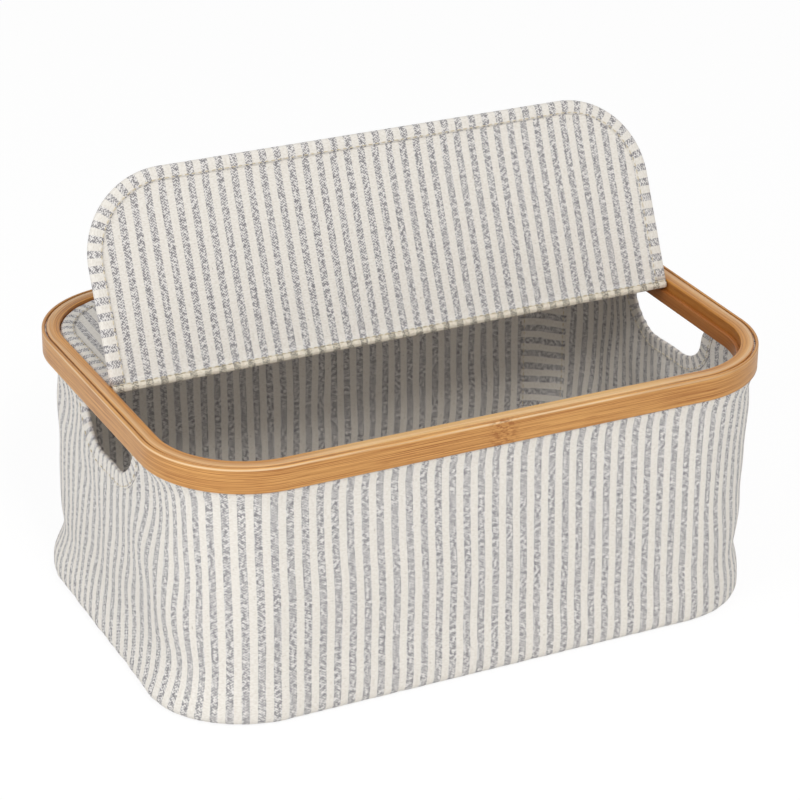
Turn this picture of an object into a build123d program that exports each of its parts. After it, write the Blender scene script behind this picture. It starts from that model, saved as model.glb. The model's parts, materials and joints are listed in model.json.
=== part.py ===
from build123d import *
import math
import os

# Canvas craft box with a bent bamboo rim and a two-part lid that folds up along its middle.
# Millimetres. Origin: centre of the footprint, on the surface the box stands on.
# +X along the length, +Y to the back, +Z up. The front half of the lid stands open.

# Size over the rim
LENGTH = 400.0
DEPTH = 280.0
HEIGHT = 170.0
CORNER_R = 65.0

# Bamboo rim: an outer hoop, an inner hoop, and a lower hoop inside it that carries the lid
RIM_H = 16.0
OUTER_HOOP_T = 1.8
INNER_HOOP_T = 8.0
LEDGE_W = 2.5
LEDGE_DROP = 7.0
OUTER_EDGE_R = 1.0
INNER_EDGE_R = 1.8
HOOP_EASE = 0.8
HEM_DROP = 0.6

# Canvas body: how far it is drawn in under the rim at its foot, waist and belly
CANVAS_T = 1.2
FOOT_R = 9.0
FOOT_H = 13.0
FOOT_DRAW = 1.2
WAIST_H = 38.0
WAIST_DRAW = 4.8
BELLY_H = 95.0
BELLY_DRAW = 3.4
STEPS_PER_BEND = 3

# Strip that covers the wall's upright seam, inside the rear right corner
TAPE_T = 0.6
TAPE_START = 38.0
TAPE_END = 68.0

# Loose base: a board in a canvas cover
BASE_BOARD_T = 3.0
BASE_COVER_T = 0.8
BASE_CLEAR = 0.6

# Handle openings under the rim at both ends, edged with a folded strip
HANDLE_W = 88.0
HANDLE_DROP = 32.0
HANDLE_R = 26.0
HANDLE_BINDING_W = 11.0
HANDLE_BINDING_T = 0.8

# Lid: two boards in canvas covers, bound round three sides
LID_CLEAR = 0.7
SEAT_CLEAR = 0.3
LID_COVER_T = 4.0
LID_BOARD_T = 2.4
BOARD_MARGIN = 1.6
BINDING_T = 0.7
BINDING_W = 9.0
COVER_EDGE_R = 0.6
BINDING_EASE = 1.0

# Fold between the lid halves: the covers' edges meet at the open angle and stop it there
FOLD_Y = -2.0
OPEN_ANGLE = 115.0
STOP_CLEAR = 0.3
BEAD_R = 2.2
BEAD_CLEAR = 0.3
STRIP_T = 1.2

# Strip that hinges the lid to the rear of the rim, stopping short of the rim's corner bends
HINGE_TAPE_T = 0.5
HINGE_TAPE_SHORT = 10.0
HINGE_TAPE_DROP = 0.8

# Places that follow from the sizes above
RIM_BOTTOM = HEIGHT - RIM_H
LEDGE_Z = HEIGHT - LEDGE_DROP
HEM_IN = OUTER_HOOP_T
INNER_IN = HEM_IN + CANVAS_T
RIM_IN = INNER_IN + INNER_HOOP_T
LEDGE_IN = RIM_IN + LEDGE_W
LID_IN = RIM_IN + LID_CLEAR
COVER_IN = LID_IN + BINDING_T
LID_Z = LEDGE_Z + SEAT_CLEAR + BINDING_T + LID_COVER_T / 2
BINDING_FULL_T = LID_COVER_T + 2 * BINDING_T
LIFT_Y = DEPTH / 2 - LID_IN
LIFT_Z = LID_Z + BINDING_FULL_T / 2
HALF_FOLD = math.radians(180.0 - OPEN_ANGLE) / 2


def outline(inset):
    """The rim's rounded rectangle, drawn in by an inset."""
    return RectangleRounded(LENGTH - 2 * inset, DEPTH - 2 * inset, CORNER_R - inset)


def slab(inset, low, high):
    """The outline at an inset, as a block between two heights."""
    return extrude(Pos(0, 0, low) * outline(inset), amount=high - low)


def hoop(outer_in, inner_in, low, high):
    """A bent strip that follows the rim between two insets and two heights."""
    return slab(outer_in, low, high) - slab(inner_in, low, high)


def edges_at(shape, height, inset):
    """The edges of one outline: at a height, and as far out as the inset says."""
    level = shape.edges().filter_by(lambda edge: abs(edge.center().Z - height) < 1e-3)
    return level.filter_by(lambda edge: abs(outline_distance(edge) - inset) < 1e-2)


def outline_distance(edge):
    """How far an edge's middle lies inside the rim's outer outline."""
    point = edge @ 0.5
    core_x = max(abs(point.X) - (LENGTH / 2 - CORNER_R), 0)
    core_y = max(abs(point.Y) - (DEPTH / 2 - CORNER_R), 0)
    if core_x and core_y:
        return CORNER_R - math.hypot(core_x, core_y)
    return CORNER_R - max(core_x, core_y)


def ring_edges(shape, rings):
    """The edges of several outlines, each given as its height and inset."""
    edges = ShapeList()
    for height, inset in rings:
        edges += edges_at(shape, height, inset)
    return edges


def round_edges(shape, radius, *rings):
    return fillet(ring_edges(shape, rings), radius)


def ease_edges(shape, width, *rings):
    return chamfer(ring_edges(shape, rings), width)


# Rim
def make_outer_hoop():
    ring = hoop(0, OUTER_HOOP_T, RIM_BOTTOM, HEIGHT)
    ring = ease_edges(ring, HOOP_EASE, (RIM_BOTTOM, 0))
    return round_edges(ring, OUTER_EDGE_R, (HEIGHT, 0))


def make_inner_hoop():
    ring = hoop(INNER_IN, RIM_IN, RIM_BOTTOM, HEIGHT)
    return round_edges(ring, INNER_EDGE_R, (HEIGHT, RIM_IN))


def make_ledge_hoop():
    ring = hoop(RIM_IN, LEDGE_IN, RIM_BOTTOM, LEDGE_Z)
    return ease_edges(ring, HOOP_EASE, (LEDGE_Z, LEDGE_IN), (RIM_BOTTOM, LEDGE_IN))


# Canvas body
def body_profile():
    """Heights up the body and how far it is drawn in there, easing from bend to bend."""
    bends = ((FOOT_H, FOOT_DRAW), (WAIST_H, WAIST_DRAW), (BELLY_H, BELLY_DRAW), (RIM_BOTTOM, 0))
    profile = [bends[0]]
    for (low, draw), (high, next_draw) in zip(bends, bends[1:]):
        for step in range(1, STEPS_PER_BEND + 1):
            share = step / STEPS_PER_BEND
            ease = (1 - math.cos(math.pi * share)) / 2
            profile.append((low + (high - low) * share, draw + (next_draw - draw) * ease))
    return profile


def body_block(inward, floor, top):
    """The body's soft form between two heights, drawn in all round by a distance."""
    foot = slab(HEM_IN + inward + FOOT_DRAW, floor, FOOT_H)
    sections = [Pos(0, 0, height) * outline(HEM_IN + inward + draw) for height, draw in body_profile()]
    block = foot + loft(sections, ruled=True) + slab(HEM_IN + inward, RIM_BOTTOM, top)
    return round_edges(block, FOOT_R - inward, (floor, HEM_IN + inward + FOOT_DRAW))


def floor_block():
    return slab(HEM_IN + FOOT_DRAW + FOOT_R, 0, CANVAS_T)


def handle_block(side, grow):
    """A block through one end wall, with the handle opening's outline widened by grow."""
    width = HANDLE_W + 2 * grow
    drop = HANDLE_DROP + grow
    shape = Pos(0, RIM_BOTTOM - drop / 2) * Rectangle(width, drop)
    shape = fillet(shape.vertices().group_by(Axis.Y)[0], HANDLE_R + grow)
    block = extrude(Plane.YZ * shape, amount=CORNER_R / 2, both=True)
    return Pos(side * LENGTH / 2, 0, 0) * block


def make_canvas_wall():
    wall = body_block(0, 0, HEIGHT - HEM_DROP) - body_block(CANVAS_T, CANVAS_T, HEIGHT) - floor_block()
    for side in (-1, 1):
        wall = wall - handle_block(side, HANDLE_BINDING_T)
    return wall


def make_handle_binding(side, wall):
    outer = body_block(-HANDLE_BINDING_T, 0, HEIGHT)
    skin = outer - body_block(CANVAS_T + HANDLE_BINDING_T, CANVAS_T, HEIGHT)
    strip = handle_block(side, HANDLE_BINDING_W) - handle_block(side, 0)
    return skin & strip - wall


def make_seam_tape():
    centre = (LENGTH / 2 - CORNER_R, DEPTH / 2 - CORNER_R)
    reach = CORNER_R / math.cos(math.radians((TAPE_END - TAPE_START) / 2))
    ends = [
        (centre[0] + reach * math.cos(math.radians(turn)), centre[1] + reach * math.sin(math.radians(turn)))
        for turn in (TAPE_START, TAPE_END)
    ]
    wedge = make_face(Polyline(centre, *ends, close=True))
    wedge = extrude(Pos(0, 0, FOOT_H) * wedge, amount=RIM_BOTTOM - FOOT_H)
    outer = body_block(CANVAS_T, CANVAS_T, HEIGHT)
    return (outer - body_block(CANVAS_T + TAPE_T, CANVAS_T, HEIGHT)) & wedge


# Loose base
def base_slab(margin, low, high):
    return slab(HEM_IN + FOOT_DRAW + FOOT_R + BASE_CLEAR + margin, low, high)


def make_base_board():
    low = CANVAS_T + BASE_COVER_T
    return base_slab(BASE_COVER_T, low, low + BASE_BOARD_T)


def make_base_cover():
    cover = base_slab(0, CANVAS_T, CANVAS_T + BASE_BOARD_T + 2 * BASE_COVER_T)
    return cover - make_base_board()


# Lid
def edge_gap(thickness):
    """How far from the fold a square edge stands, so that two of them meet at the open angle."""
    return (STOP_CLEAR / 2 + thickness / 2 * math.cos(HALF_FOLD)) / math.sin(HALF_FOLD)


def half_space(side, gap):
    """Everything on one side of the fold: side is -1 for the front half and 1 for the rear half."""
    reach = DEPTH
    return Pos(0, FOLD_Y + side * (gap + reach / 2), LID_Z) * Box(2 * LENGTH, reach, HEIGHT)


def lid_slab(inset, thickness):
    low = LID_Z - thickness / 2
    return slab(inset, low, low + thickness)


def make_lid_board(side):
    block = lid_slab(COVER_IN + BOARD_MARGIN, LID_BOARD_T)
    return block & half_space(side, edge_gap(LID_COVER_T) + BOARD_MARGIN)


def cover_block(side):
    block = lid_slab(COVER_IN, LID_COVER_T) & half_space(side, edge_gap(LID_COVER_T))
    fold_edges = block.edges().filter_by(Axis.X).group_by(Axis.Y)[-1 if side < 0 else 0]
    return fillet(fold_edges, COVER_EDGE_R)


def make_lid_cover(side):
    return cover_block(side) - make_lid_board(side)


def make_lid_binding(side):
    low = LID_Z - BINDING_FULL_T / 2
    block = ease_edges(lid_slab(LID_IN, BINDING_FULL_T), BINDING_EASE, (low, LID_IN), (low + BINDING_FULL_T, LID_IN))
    block = block - lid_slab(LID_IN + BINDING_W, BINDING_FULL_T)
    block = block & half_space(side, edge_gap(BINDING_FULL_T))
    return block - cover_block(side)


def fold_rod(radius):
    length = LENGTH - 2 * COVER_IN
    return Pos(0, FOLD_Y, LID_Z) * Rot(0, 90, 0) * Cylinder(radius, length)


def fold_leaf(side):
    """The flat strip of doubled canvas that runs from a lid half to the fold line."""
    reach = edge_gap(LID_COVER_T)
    return Pos(0, FOLD_Y + side * reach / 2, LID_Z) * Box(LENGTH - 2 * COVER_IN, reach, STRIP_T)


def make_fold_bead():
    return fold_rod(BEAD_R) + fold_leaf(1)


def make_fold_leaf():
    return fold_leaf(-1) - fold_rod(BEAD_R + BEAD_CLEAR)


def opened(shape):
    """Turns a piece of the front half from closed to the open angle about the fold line."""
    line = Axis((0, FOLD_Y, LID_Z), (-1, 0, 0))
    return shape.rotate(line, OPEN_ANGLE)


def make_hinge_tape():
    height = LEDGE_DROP - HINGE_TAPE_DROP - INNER_EDGE_R
    centre = Pos(0, DEPTH / 2 - RIM_IN - HINGE_TAPE_T / 2, LEDGE_Z + HINGE_TAPE_DROP + height / 2)
    length = LENGTH - 2 * (CORNER_R + HINGE_TAPE_SHORT)
    return centre * Box(length, HINGE_TAPE_T, height)


canvas_wall = make_canvas_wall()
PARTS = {
    "outer_hoop": make_outer_hoop(),
    "inner_hoop": make_inner_hoop(),
    "ledge_hoop": make_ledge_hoop(),
    "canvas_wall": canvas_wall,
    "canvas_floor": floor_block(),
    "seam_tape": make_seam_tape(),
    "left_handle_binding": make_handle_binding(-1, canvas_wall),
    "right_handle_binding": make_handle_binding(1, canvas_wall),
    "base_board": make_base_board(),
    "base_cover": make_base_cover(),
    "lid_hinge_tape": make_hinge_tape(),
    "rear_lid_board": make_lid_board(1),
    "rear_lid_cover": make_lid_cover(1),
    "rear_lid_binding": make_lid_binding(1),
    "fold_bead": make_fold_bead(),
    "fold_leaf": opened(make_fold_leaf()),
    "front_lid_board": opened(make_lid_board(-1)),
    "front_lid_cover": opened(make_lid_cover(-1)),
    "front_lid_binding": opened(make_lid_binding(-1)),
}

os.makedirs("parts", exist_ok=True)
for name, shape in PARTS.items():
    export_step(shape, f"parts/{name}.step")

# The two lines the lid turns about, both along X
print("fold line: y", FOLD_Y, "z", LID_Z)
print("lift line: y", LIFT_Y, "z", LIFT_Z)
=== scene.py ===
"""Canvas craft box with a bent bamboo rim and a padded lid in two halves: surfaces, cloth and studio.

Metres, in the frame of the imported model: +X along the length, +Y to the back, +Z up.
"""

import json
import logging
import math
from collections.abc import Callable
from dataclasses import dataclass
from enum import Enum

import bpy
import numpy as np
from mathutils import Matrix, Vector
from mathutils.bvhtree import BVHTree
from mathutils.geometry import barycentric_transform, delaunay_2d_cdt

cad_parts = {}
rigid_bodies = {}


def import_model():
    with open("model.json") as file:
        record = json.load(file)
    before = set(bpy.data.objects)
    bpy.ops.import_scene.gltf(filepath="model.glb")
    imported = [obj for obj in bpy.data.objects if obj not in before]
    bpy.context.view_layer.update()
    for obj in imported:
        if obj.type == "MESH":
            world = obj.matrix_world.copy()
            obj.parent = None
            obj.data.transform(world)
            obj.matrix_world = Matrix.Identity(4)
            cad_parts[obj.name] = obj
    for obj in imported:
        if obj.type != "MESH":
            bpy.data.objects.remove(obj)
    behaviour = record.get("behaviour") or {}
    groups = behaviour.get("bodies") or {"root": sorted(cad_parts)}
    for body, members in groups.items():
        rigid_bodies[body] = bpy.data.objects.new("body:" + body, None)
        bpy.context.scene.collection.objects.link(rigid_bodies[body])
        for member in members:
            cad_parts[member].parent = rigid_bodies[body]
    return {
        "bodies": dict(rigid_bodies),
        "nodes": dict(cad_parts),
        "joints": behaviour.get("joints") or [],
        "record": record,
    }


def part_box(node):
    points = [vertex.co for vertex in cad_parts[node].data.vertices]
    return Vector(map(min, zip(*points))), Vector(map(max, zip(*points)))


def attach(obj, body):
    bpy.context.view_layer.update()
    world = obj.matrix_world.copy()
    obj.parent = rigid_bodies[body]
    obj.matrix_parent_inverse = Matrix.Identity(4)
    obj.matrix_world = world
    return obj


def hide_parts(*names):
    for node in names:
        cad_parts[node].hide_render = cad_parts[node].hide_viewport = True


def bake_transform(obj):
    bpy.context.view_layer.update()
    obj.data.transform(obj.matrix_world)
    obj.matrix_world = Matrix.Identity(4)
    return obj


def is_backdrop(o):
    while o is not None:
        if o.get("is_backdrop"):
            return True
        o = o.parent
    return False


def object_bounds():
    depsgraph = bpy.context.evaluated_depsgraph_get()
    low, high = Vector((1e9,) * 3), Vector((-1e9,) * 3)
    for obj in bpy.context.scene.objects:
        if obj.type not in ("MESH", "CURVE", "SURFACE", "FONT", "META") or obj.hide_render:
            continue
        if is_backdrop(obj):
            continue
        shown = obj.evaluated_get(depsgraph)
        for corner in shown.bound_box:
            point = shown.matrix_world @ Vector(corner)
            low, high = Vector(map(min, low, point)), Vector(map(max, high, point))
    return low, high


LOG = logging.getLogger("craft_box")
MM = 0.001
UV_NAME = "weave"

# Differences that don't count: in a sum, between two places and from nothing
ROUNDING = 1e-9
SAME_PLACE = 1e-7
TINY = 1e-12

# The height of an even triangle of side 1, and how far a stitch's middle lies above the cloth
ROW_HEIGHT = math.sqrt(0.75)
THREAD_LIFT = 0.1 * MM

Points = np.ndarray
Colour = tuple[float, float, float]


# Arithmetic on shader sockets


def linear(red: int, green: int, blue: int) -> Colour:
    """Turns a display colour, 0 to 255, into the linear values that a shader takes."""
    parts = [value / 255 for value in (red, green, blue)]
    return tuple(part / 12.92 if part <= 0.04045 else ((part + 0.055) / 1.055) ** 2.4 for part in parts)


class Wire:
    """One output socket that takes part in Python arithmetic: each operator adds a Math node."""

    def __init__(self, bench: "Bench", socket: bpy.types.NodeSocket) -> None:
        """Keeps the socket and the bench that its tree is built on."""
        self.bench = bench
        self.socket = socket

    def math(self, operation: str, *others: "Wire | float") -> "Wire":
        """Adds a Math node.

        Args:
            operation: the node's operation, such as MULTIPLY.
            others: the node's further inputs, after this socket.

        Returns:
            The node's output.
        """
        return self.bench.math(operation, self, *others)

    def __add__(self, other: "Wire | float") -> "Wire":
        """Sum."""
        return self.math("ADD", other)

    __radd__ = __add__

    def __sub__(self, other: "Wire | float") -> "Wire":
        """Difference."""
        return self.math("SUBTRACT", other)

    def __rsub__(self, other: float) -> "Wire":
        """Difference, with this socket taken away."""
        return self.bench.math("SUBTRACT", other, self)

    def __mul__(self, other: "Wire | float") -> "Wire":
        """Product."""
        return self.math("MULTIPLY", other)

    __rmul__ = __mul__

    def __truediv__(self, other: "Wire | float") -> "Wire":
        """Quotient."""
        return self.math("DIVIDE", other)

    def __rtruediv__(self, other: float) -> "Wire":
        """Quotient, with this socket below the line."""
        return self.bench.math("DIVIDE", other, self)

    def fraction(self) -> "Wire":
        """What follows the decimal point."""
        return self.math("FRACT")

    def sine(self) -> "Wire":
        """Sine."""
        return self.math("SINE")

    def size(self) -> "Wire":
        """Absolute value."""
        return self.math("ABSOLUTE")

    def at_most(self, other: "Wire | float") -> "Wire":
        """The smaller of two."""
        return self.math("MINIMUM", other)

    def ramp(self, low: float, high: float) -> "Wire":
        """Climbs smoothly from 0 to 1.

        Args:
            low: where it is 0.
            high: where it is 1, which may be the smaller of the two.

        Returns:
            The climb.
        """
        settings = {"interpolation_type": "SMOOTHSTEP"}
        inputs = {"Value": self, "From Min": low, "From Max": high}
        if low > high:
            inputs |= {"From Min": high, "From Max": low, "To Min": 1.0, "To Max": 0.0}
        return self.bench.add("ShaderNodeMapRange", settings, inputs, "Result")


@dataclass(frozen=True)
class Speckle:
    """Smooth noise over a UV map: its turns per metre each way, and how rich it is in finer turns."""

    u: float
    v: float
    detail: float = 2.0
    roughness: float = 0.5


class Bench:
    """Builds one node tree."""

    def __init__(self, tree: bpy.types.NodeTree) -> None:
        """Starts on an emptied tree."""
        self.tree = tree
        tree.nodes.clear()

    def add(
        self,
        kind: str,
        settings: dict | None = None,
        inputs: dict | None = None,
        output: str | int = 0,
    ) -> Wire:
        """Adds any node.

        Args:
            kind: the node's type.
            settings: the node's own settings, set before its inputs.
            inputs: a value or a Wire for each named or numbered socket.
            output: the name or number of the socket to return.

        Returns:
            The chosen output.
        """
        node = self.tree.nodes.new(kind)
        for key, value in (settings or {}).items():
            setattr(node, key, value)
        for key, value in (inputs or {}).items():
            self._feed(node.inputs[key], value)
        return Wire(self, node.outputs[output])

    def _feed(self, socket: bpy.types.NodeSocket, value: object) -> None:
        """Feeds one socket.

        Args:
            socket: the input.
            value: a Wire to link there, or a plain value, a colour without its alpha.
        """
        if isinstance(value, Wire):
            self.tree.links.new(value.socket, socket)
        elif socket.type == "RGBA":
            socket.default_value = (*value, 1.0)
        else:
            socket.default_value = value

    def close(self, kind: str, last: Wire) -> None:
        """Adds the tree's output node and feeds it."""
        self.tree.links.new(last.socket, self.tree.nodes.new(kind).inputs[0])

    def math(self, operation: str, *values: "Wire | float") -> Wire:
        """Adds a Math node on the values, in order."""
        return self.add("ShaderNodeMath", {"operation": operation}, dict(enumerate(values)))

    def blend(self, share: "Wire | float", first: "Wire | Colour", second: "Wire | Colour") -> Wire:
        """Mixes two colours: the first where share is 0, the second where it is 1."""
        inputs = {"Factor": share, 6: first, 7: second}
        return self.add("ShaderNodeMix", {"data_type": "RGBA"}, inputs, 2)

    def split(self, vector: Wire) -> tuple[Wire, Wire, Wire]:
        """A vector's three numbers."""
        node = self.add("ShaderNodeSeparateXYZ", {}, {0: vector}).socket.node
        return tuple(Wire(self, socket) for socket in node.outputs)

    def uv(self) -> tuple[Wire, Wire]:
        """The piece's own UV map, in metres, as its two numbers."""
        return self.split(self.add("ShaderNodeUVMap", {"uv_map": UV_NAME}))[:2]

    def place(self) -> Wire:
        """Object coordinates, in metres."""
        return self.add("ShaderNodeTexCoord", {}, {}, "Object")

    def vector(self, x: "Wire | float", y: "Wire | float", z: "Wire | float" = 0.0) -> Wire:
        """Puts three numbers together."""
        return self.add("ShaderNodeCombineXYZ", {}, {0: x, 1: y, 2: z})

    def noise(self, where: Wire, scale: float, detail: float, roughness: float = 0.5) -> Wire:
        """Smooth noise about 0.5 at a place, with scale in turns per unit."""
        inputs = {"Vector": where, "Scale": scale, "Detail": detail, "Roughness": roughness}
        return self.add("ShaderNodeTexNoise", {}, inputs)

    def speckle(self, u: Wire, v: Wire, kind: Speckle) -> Wire:
        """Noise of one kind at a place of the UV map."""
        return self.noise(self.vector(u * kind.u, v * kind.v), 1.0, kind.detail, kind.roughness)

    def bump(self, height: Wire, distance: float, strength: float = 1.0) -> Wire:
        """A bumped normal; distance is the height, in metres, of a rise from 0 to 1."""
        inputs = {"Height": height, "Distance": distance, "Strength": strength}
        return self.add("ShaderNodeBump", {}, inputs)


class MaterialBench(Bench):
    """Builds the node tree of one new material."""

    def __init__(self, name: str) -> None:
        """Makes the material.

        Args:
            name: its name.
        """
        self.material = bpy.data.materials.new(name)
        self.material.use_nodes = True
        super().__init__(self.material.node_tree)

    def finish(self, surface: Wire | dict) -> bpy.types.Material:
        """Ends the tree.

        Args:
            surface: the last shader, or the inputs of a Principled one.

        Returns:
            The material.
        """
        if isinstance(surface, dict):
            surface = self.add("ShaderNodeBsdfPrincipled", {}, surface)
        self.close("ShaderNodeOutputMaterial", surface)
        return self.material


# Finishes


@dataclass(frozen=True)
class CanvasFinish:
    """Cream cotton canvas with woven grey stripes. The UV map's U runs across the stripes, in metres."""

    name: str = "striped_canvas"
    pitch: float = 9.34 * MM
    grey_share: float = 0.495
    edge_blur: float = 0.5 * MM
    edge_stray: float = 0.5 * MM
    thread: float = 0.8 * MM
    rib: float = 1.7 * MM
    rib_depth: float = 0.36
    zigzag: float = 3.0 * MM
    speck_depth: float = 3.6
    slub_share: float = 0.45
    bump_height: float = 0.14 * MM
    wander: Speckle = Speckle(40, 60)
    ragged: Speckle = Speckle(600, 1500, 1.0)
    specks: Speckle = Speckle(560, 460, 2.0, 0.65)
    patches: Speckle = Speckle(520, 1100)
    slubs: Speckle = Speckle(700, 300, 1.0)
    cream: Colour = linear(244, 240, 233)
    cream_low: Colour = linear(226, 220, 210)
    grey_dark: Colour = linear(139, 137, 140)
    grey_light: Colour = linear(238, 235, 232)
    slub: Colour = linear(128, 118, 106)

    def make(self) -> bpy.types.Material:
        """Builds the material.

        Returns:
            The material.
        """
        bench = MaterialBench(self.name)
        across, along = bench.uv()
        wander = bench.speckle(across, along, self.wander) - 0.5
        ragged = bench.speckle(across, along, self.ragged) - 0.5
        turn = (across + wander * self.edge_stray + ragged * self.edge_stray) / self.pitch + 0.5
        from_middle = (turn.fraction() - 0.5).size() * self.pitch
        half = self.pitch * self.grey_share / 2
        stripe = from_middle.ramp(half + self.edge_blur / 2, half - self.edge_blur / 2)
        speck = bench.speckle(across, along, self.specks)
        lean = ((across / self.zigzag).fraction() - 0.5).size() * self.zigzag
        ribs = ((along + lean) * (math.tau / self.rib)).sine()
        twill = (ribs * self.rib_depth + (speck - 0.5) * self.speck_depth + 0.5).ramp(0.0, 1.0)
        grey = bench.blend(twill, self.grey_dark, self.grey_light)
        warp = (across * (math.tau / self.thread)).sine()
        weft = (along * (math.tau / self.thread)).sine()
        weave = warp * weft * 0.25 + 0.5
        patchy = bench.speckle(across, along, self.patches)
        cream = bench.blend((weave * 0.4 + patchy * 1.4 - 0.35).ramp(0.1, 0.8), self.cream_low, self.cream)
        slub = bench.speckle(across, along, self.slubs).ramp(0.72, 0.80)
        cream = bench.blend(slub * self.slub_share, cream, self.slub)
        height = weave * 0.5 + speck * 0.3 + slub * 0.3 + twill * stripe * 0.3
        return bench.finish(
            {
                "Base Color": bench.blend(stripe, cream, grey),
                "Roughness": 0.92,
                "Specular IOR Level": 0.25,
                "Sheen Weight": 0.12,
                "Sheen Roughness": 0.5,
                "Normal": bench.bump(height, self.bump_height, 0.7),
            }
        )


@dataclass(frozen=True)
class BambooFinish:
    """Varnished bamboo. The UV map's U runs along the strip and V round its section, in metres."""

    name: str = "varnished_bamboo"
    pale: Colour = linear(244, 190, 118)
    middle: Colour = linear(210, 150, 80)
    deep: Colour = linear(142, 72, 22)
    middle_share: float = 0.45
    drift: Speckle = Speckle(6, 30, 1.0)
    drift_reach: float = 0.8 * MM
    bands: Speckle = Speckle(3, 420)
    fibres: Speckle = Speckle(12, 2000, 3.0, 0.65)
    flecks: Speckle = Speckle(60, 2200)
    # A pale line along the rounded edge of the strip: partly wear where the varnish is thin, partly a painted
    # highlight of the rounded edge.
    edge: float = 15.4 * MM
    edge_width: float = 1.0 * MM
    edge_share: float = 0.8
    edge_wear_and_highlight: Colour = linear(252, 222, 178)
    edge_patchiness: Speckle = Speckle(9, 500)
    # Paler towards the middle of the front straight: a painted sheen of the varnish on the front of the rim.
    front: Colour = linear(246, 206, 140)
    front_sheen_reach: float = 150 * MM
    front_sheen_share: float = 0.0
    # Darker, deeper orange on the faces that look into the box: painted shade.
    inside: Colour = linear(138, 66, 16)
    inner_shade_from: float = 1.0
    inner_shade_share: float = 0.0
    knuckle: Colour = linear(150, 84, 34)
    knuckle_place: float = -1 * MM
    knuckle_width: float = 12 * MM
    knuckle_share: float = 0.65
    knuckle_swirl: Speckle = Speckle(240, 420, 2.0, 0.6)
    bump_height: float = 0.07 * MM

    def make(self) -> bpy.types.Material:
        """Builds the material.

        Returns:
            The material.
        """
        bench = MaterialBench(self.name)
        along, round_section = bench.uv()
        drift = bench.speckle(along, round_section, self.drift) - 0.5
        across = round_section + drift * self.drift_reach
        bands = bench.speckle(along, across, self.bands)
        fibres = bench.speckle(along, across, self.fibres)
        flecks = bench.speckle(along, across, self.flecks)
        tone = bands * 0.25 + fibres * 0.75
        colour = bench.blend(tone.ramp(0.33, 0.66), self.deep, self.pale)
        colour = bench.blend(self.middle_share, colour, self.middle)
        dark = (fibres.ramp(0.47, 0.36) * 0.4 + flecks.ramp(0.42, 0.30) * 0.45).at_most(1.0)
        colour = bench.blend(dark, colour, self.deep)
        # Painted sheen: paler towards the middle of the front straight.
        front = (along.size() / self.front_sheen_reach).ramp(1.0, 0.55) * self.front_sheen_share
        colour = bench.blend(front, colour, self.front)
        # Painted shade: darker and deeper orange on the inner faces.
        inside = (round_section - self.inner_shade_from).ramp(0.0, 1 * MM) * self.inner_shade_share
        colour = bench.blend(inside, colour, self.inside)
        # Pale line along the rounded edge: partly wear, partly a painted highlight, broken into patches.
        patchiness = bench.speckle(along, round_section, self.edge_patchiness).ramp(0.2, 0.6)
        wear_and_highlight = ((round_section - self.edge).size() / self.edge_width).ramp(1.0, 0.1) * patchiness * self.edge_share
        colour = bench.blend(wear_and_highlight, colour, self.edge_wear_and_highlight)
        reach = ((along - self.knuckle_place).size() / self.knuckle_width).ramp(1.0, 0.3)
        swirl = bench.speckle(along, across, self.knuckle_swirl)
        knuckle = swirl.ramp(0.44, 0.60) * reach * self.knuckle_share
        height = fibres * 0.6 + flecks * 0.4 - knuckle * 0.4
        return bench.finish(
            {
                "Base Color": bench.blend(knuckle, colour, self.knuckle),
                "Roughness": fibres * 0.16 + 0.26,
                "Specular IOR Level": 0.36,
                "Coat Weight": 0.08,
                "Coat Roughness": 0.22,
                "Normal": bench.bump(height, self.bump_height, 0.6),
            }
        )


ROLLED_CANVAS = CanvasFinish(
    "rolled_canvas",
    cream=linear(242, 235, 220),
    cream_low=linear(220, 209, 188),
    grey_dark=linear(140, 134, 124),
    grey_light=linear(228, 220, 202),
)

# The bamboo of each strip of the rim, by the node that the strip stands for
HOOP_BAMBOO = {
    "outer_hoop": BambooFinish(),
    "inner_hoop": BambooFinish(
        "varnished_bamboo_inside",
        pale=linear(240, 180, 92),
        middle=linear(206, 138, 58),
        # On the inner hoop a wider pale band across its top: partly wear, partly a painted highlight.
        edge=17.5 * MM,
        edge_width=3.5 * MM,
        edge_share=0.45,
        # Painted sheen on the front of the inner hoop.
        front_sheen_share=0.5,
        # Painted shade on the inner hoop's inner face.
        inner_shade_from=23.5 * MM,
        inner_shade_share=0.45,
        knuckle_share=0.0,
    ),
    "ledge_hoop": BambooFinish(
        "varnished_bamboo_ledge",
        pale=linear(234, 174, 102),
        middle=linear(200, 132, 66),
        edge_share=0.0,
        # Painted shade over the whole ledge.
        inner_shade_from=-2 * MM,
        inner_shade_share=0.5,
        knuckle_share=0.0,
    ),
}


@dataclass(frozen=True)
class ThreadFinish:
    """Cream sewing thread."""

    pale: Colour = linear(234, 224, 200)
    deep: Colour = linear(196, 182, 152)
    twist: float = 0.5 * MM
    bump_height: float = 0.05 * MM

    def make(self) -> bpy.types.Material:
        """Builds the material.

        Returns:
            The material.
        """
        bench = MaterialBench("sewing_thread")
        x, y, z = bench.split(bench.place())
        twist = ((x + y + z) * (math.tau / self.twist)).sine() * 0.5 + 0.5
        colour = bench.blend(twist, self.deep, self.pale)
        bump = bench.bump(twist, self.bump_height, 0.5)
        return bench.finish({"Base Color": colour, "Roughness": 0.7, "Normal": bump})


@dataclass(frozen=True)
class BoardFinish:
    """Pressed grey paper board."""

    pale: Colour = linear(150, 143, 132)
    deep: Colour = linear(128, 120, 110)
    pulp: float = 900.0
    bump_height: float = 0.1 * MM

    def make(self) -> bpy.types.Material:
        """Builds the material.

        Returns:
            The material.
        """
        bench = MaterialBench("greyboard")
        pulp = bench.noise(bench.place(), self.pulp, 3.0)
        colour = bench.blend(pulp.ramp(0.35, 0.65), self.deep, self.pale)
        bump = bench.bump(pulp, self.bump_height, 0.6)
        return bench.finish({"Base Color": colour, "Roughness": 0.95, "Normal": bump})


# Outlines and meshes


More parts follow.
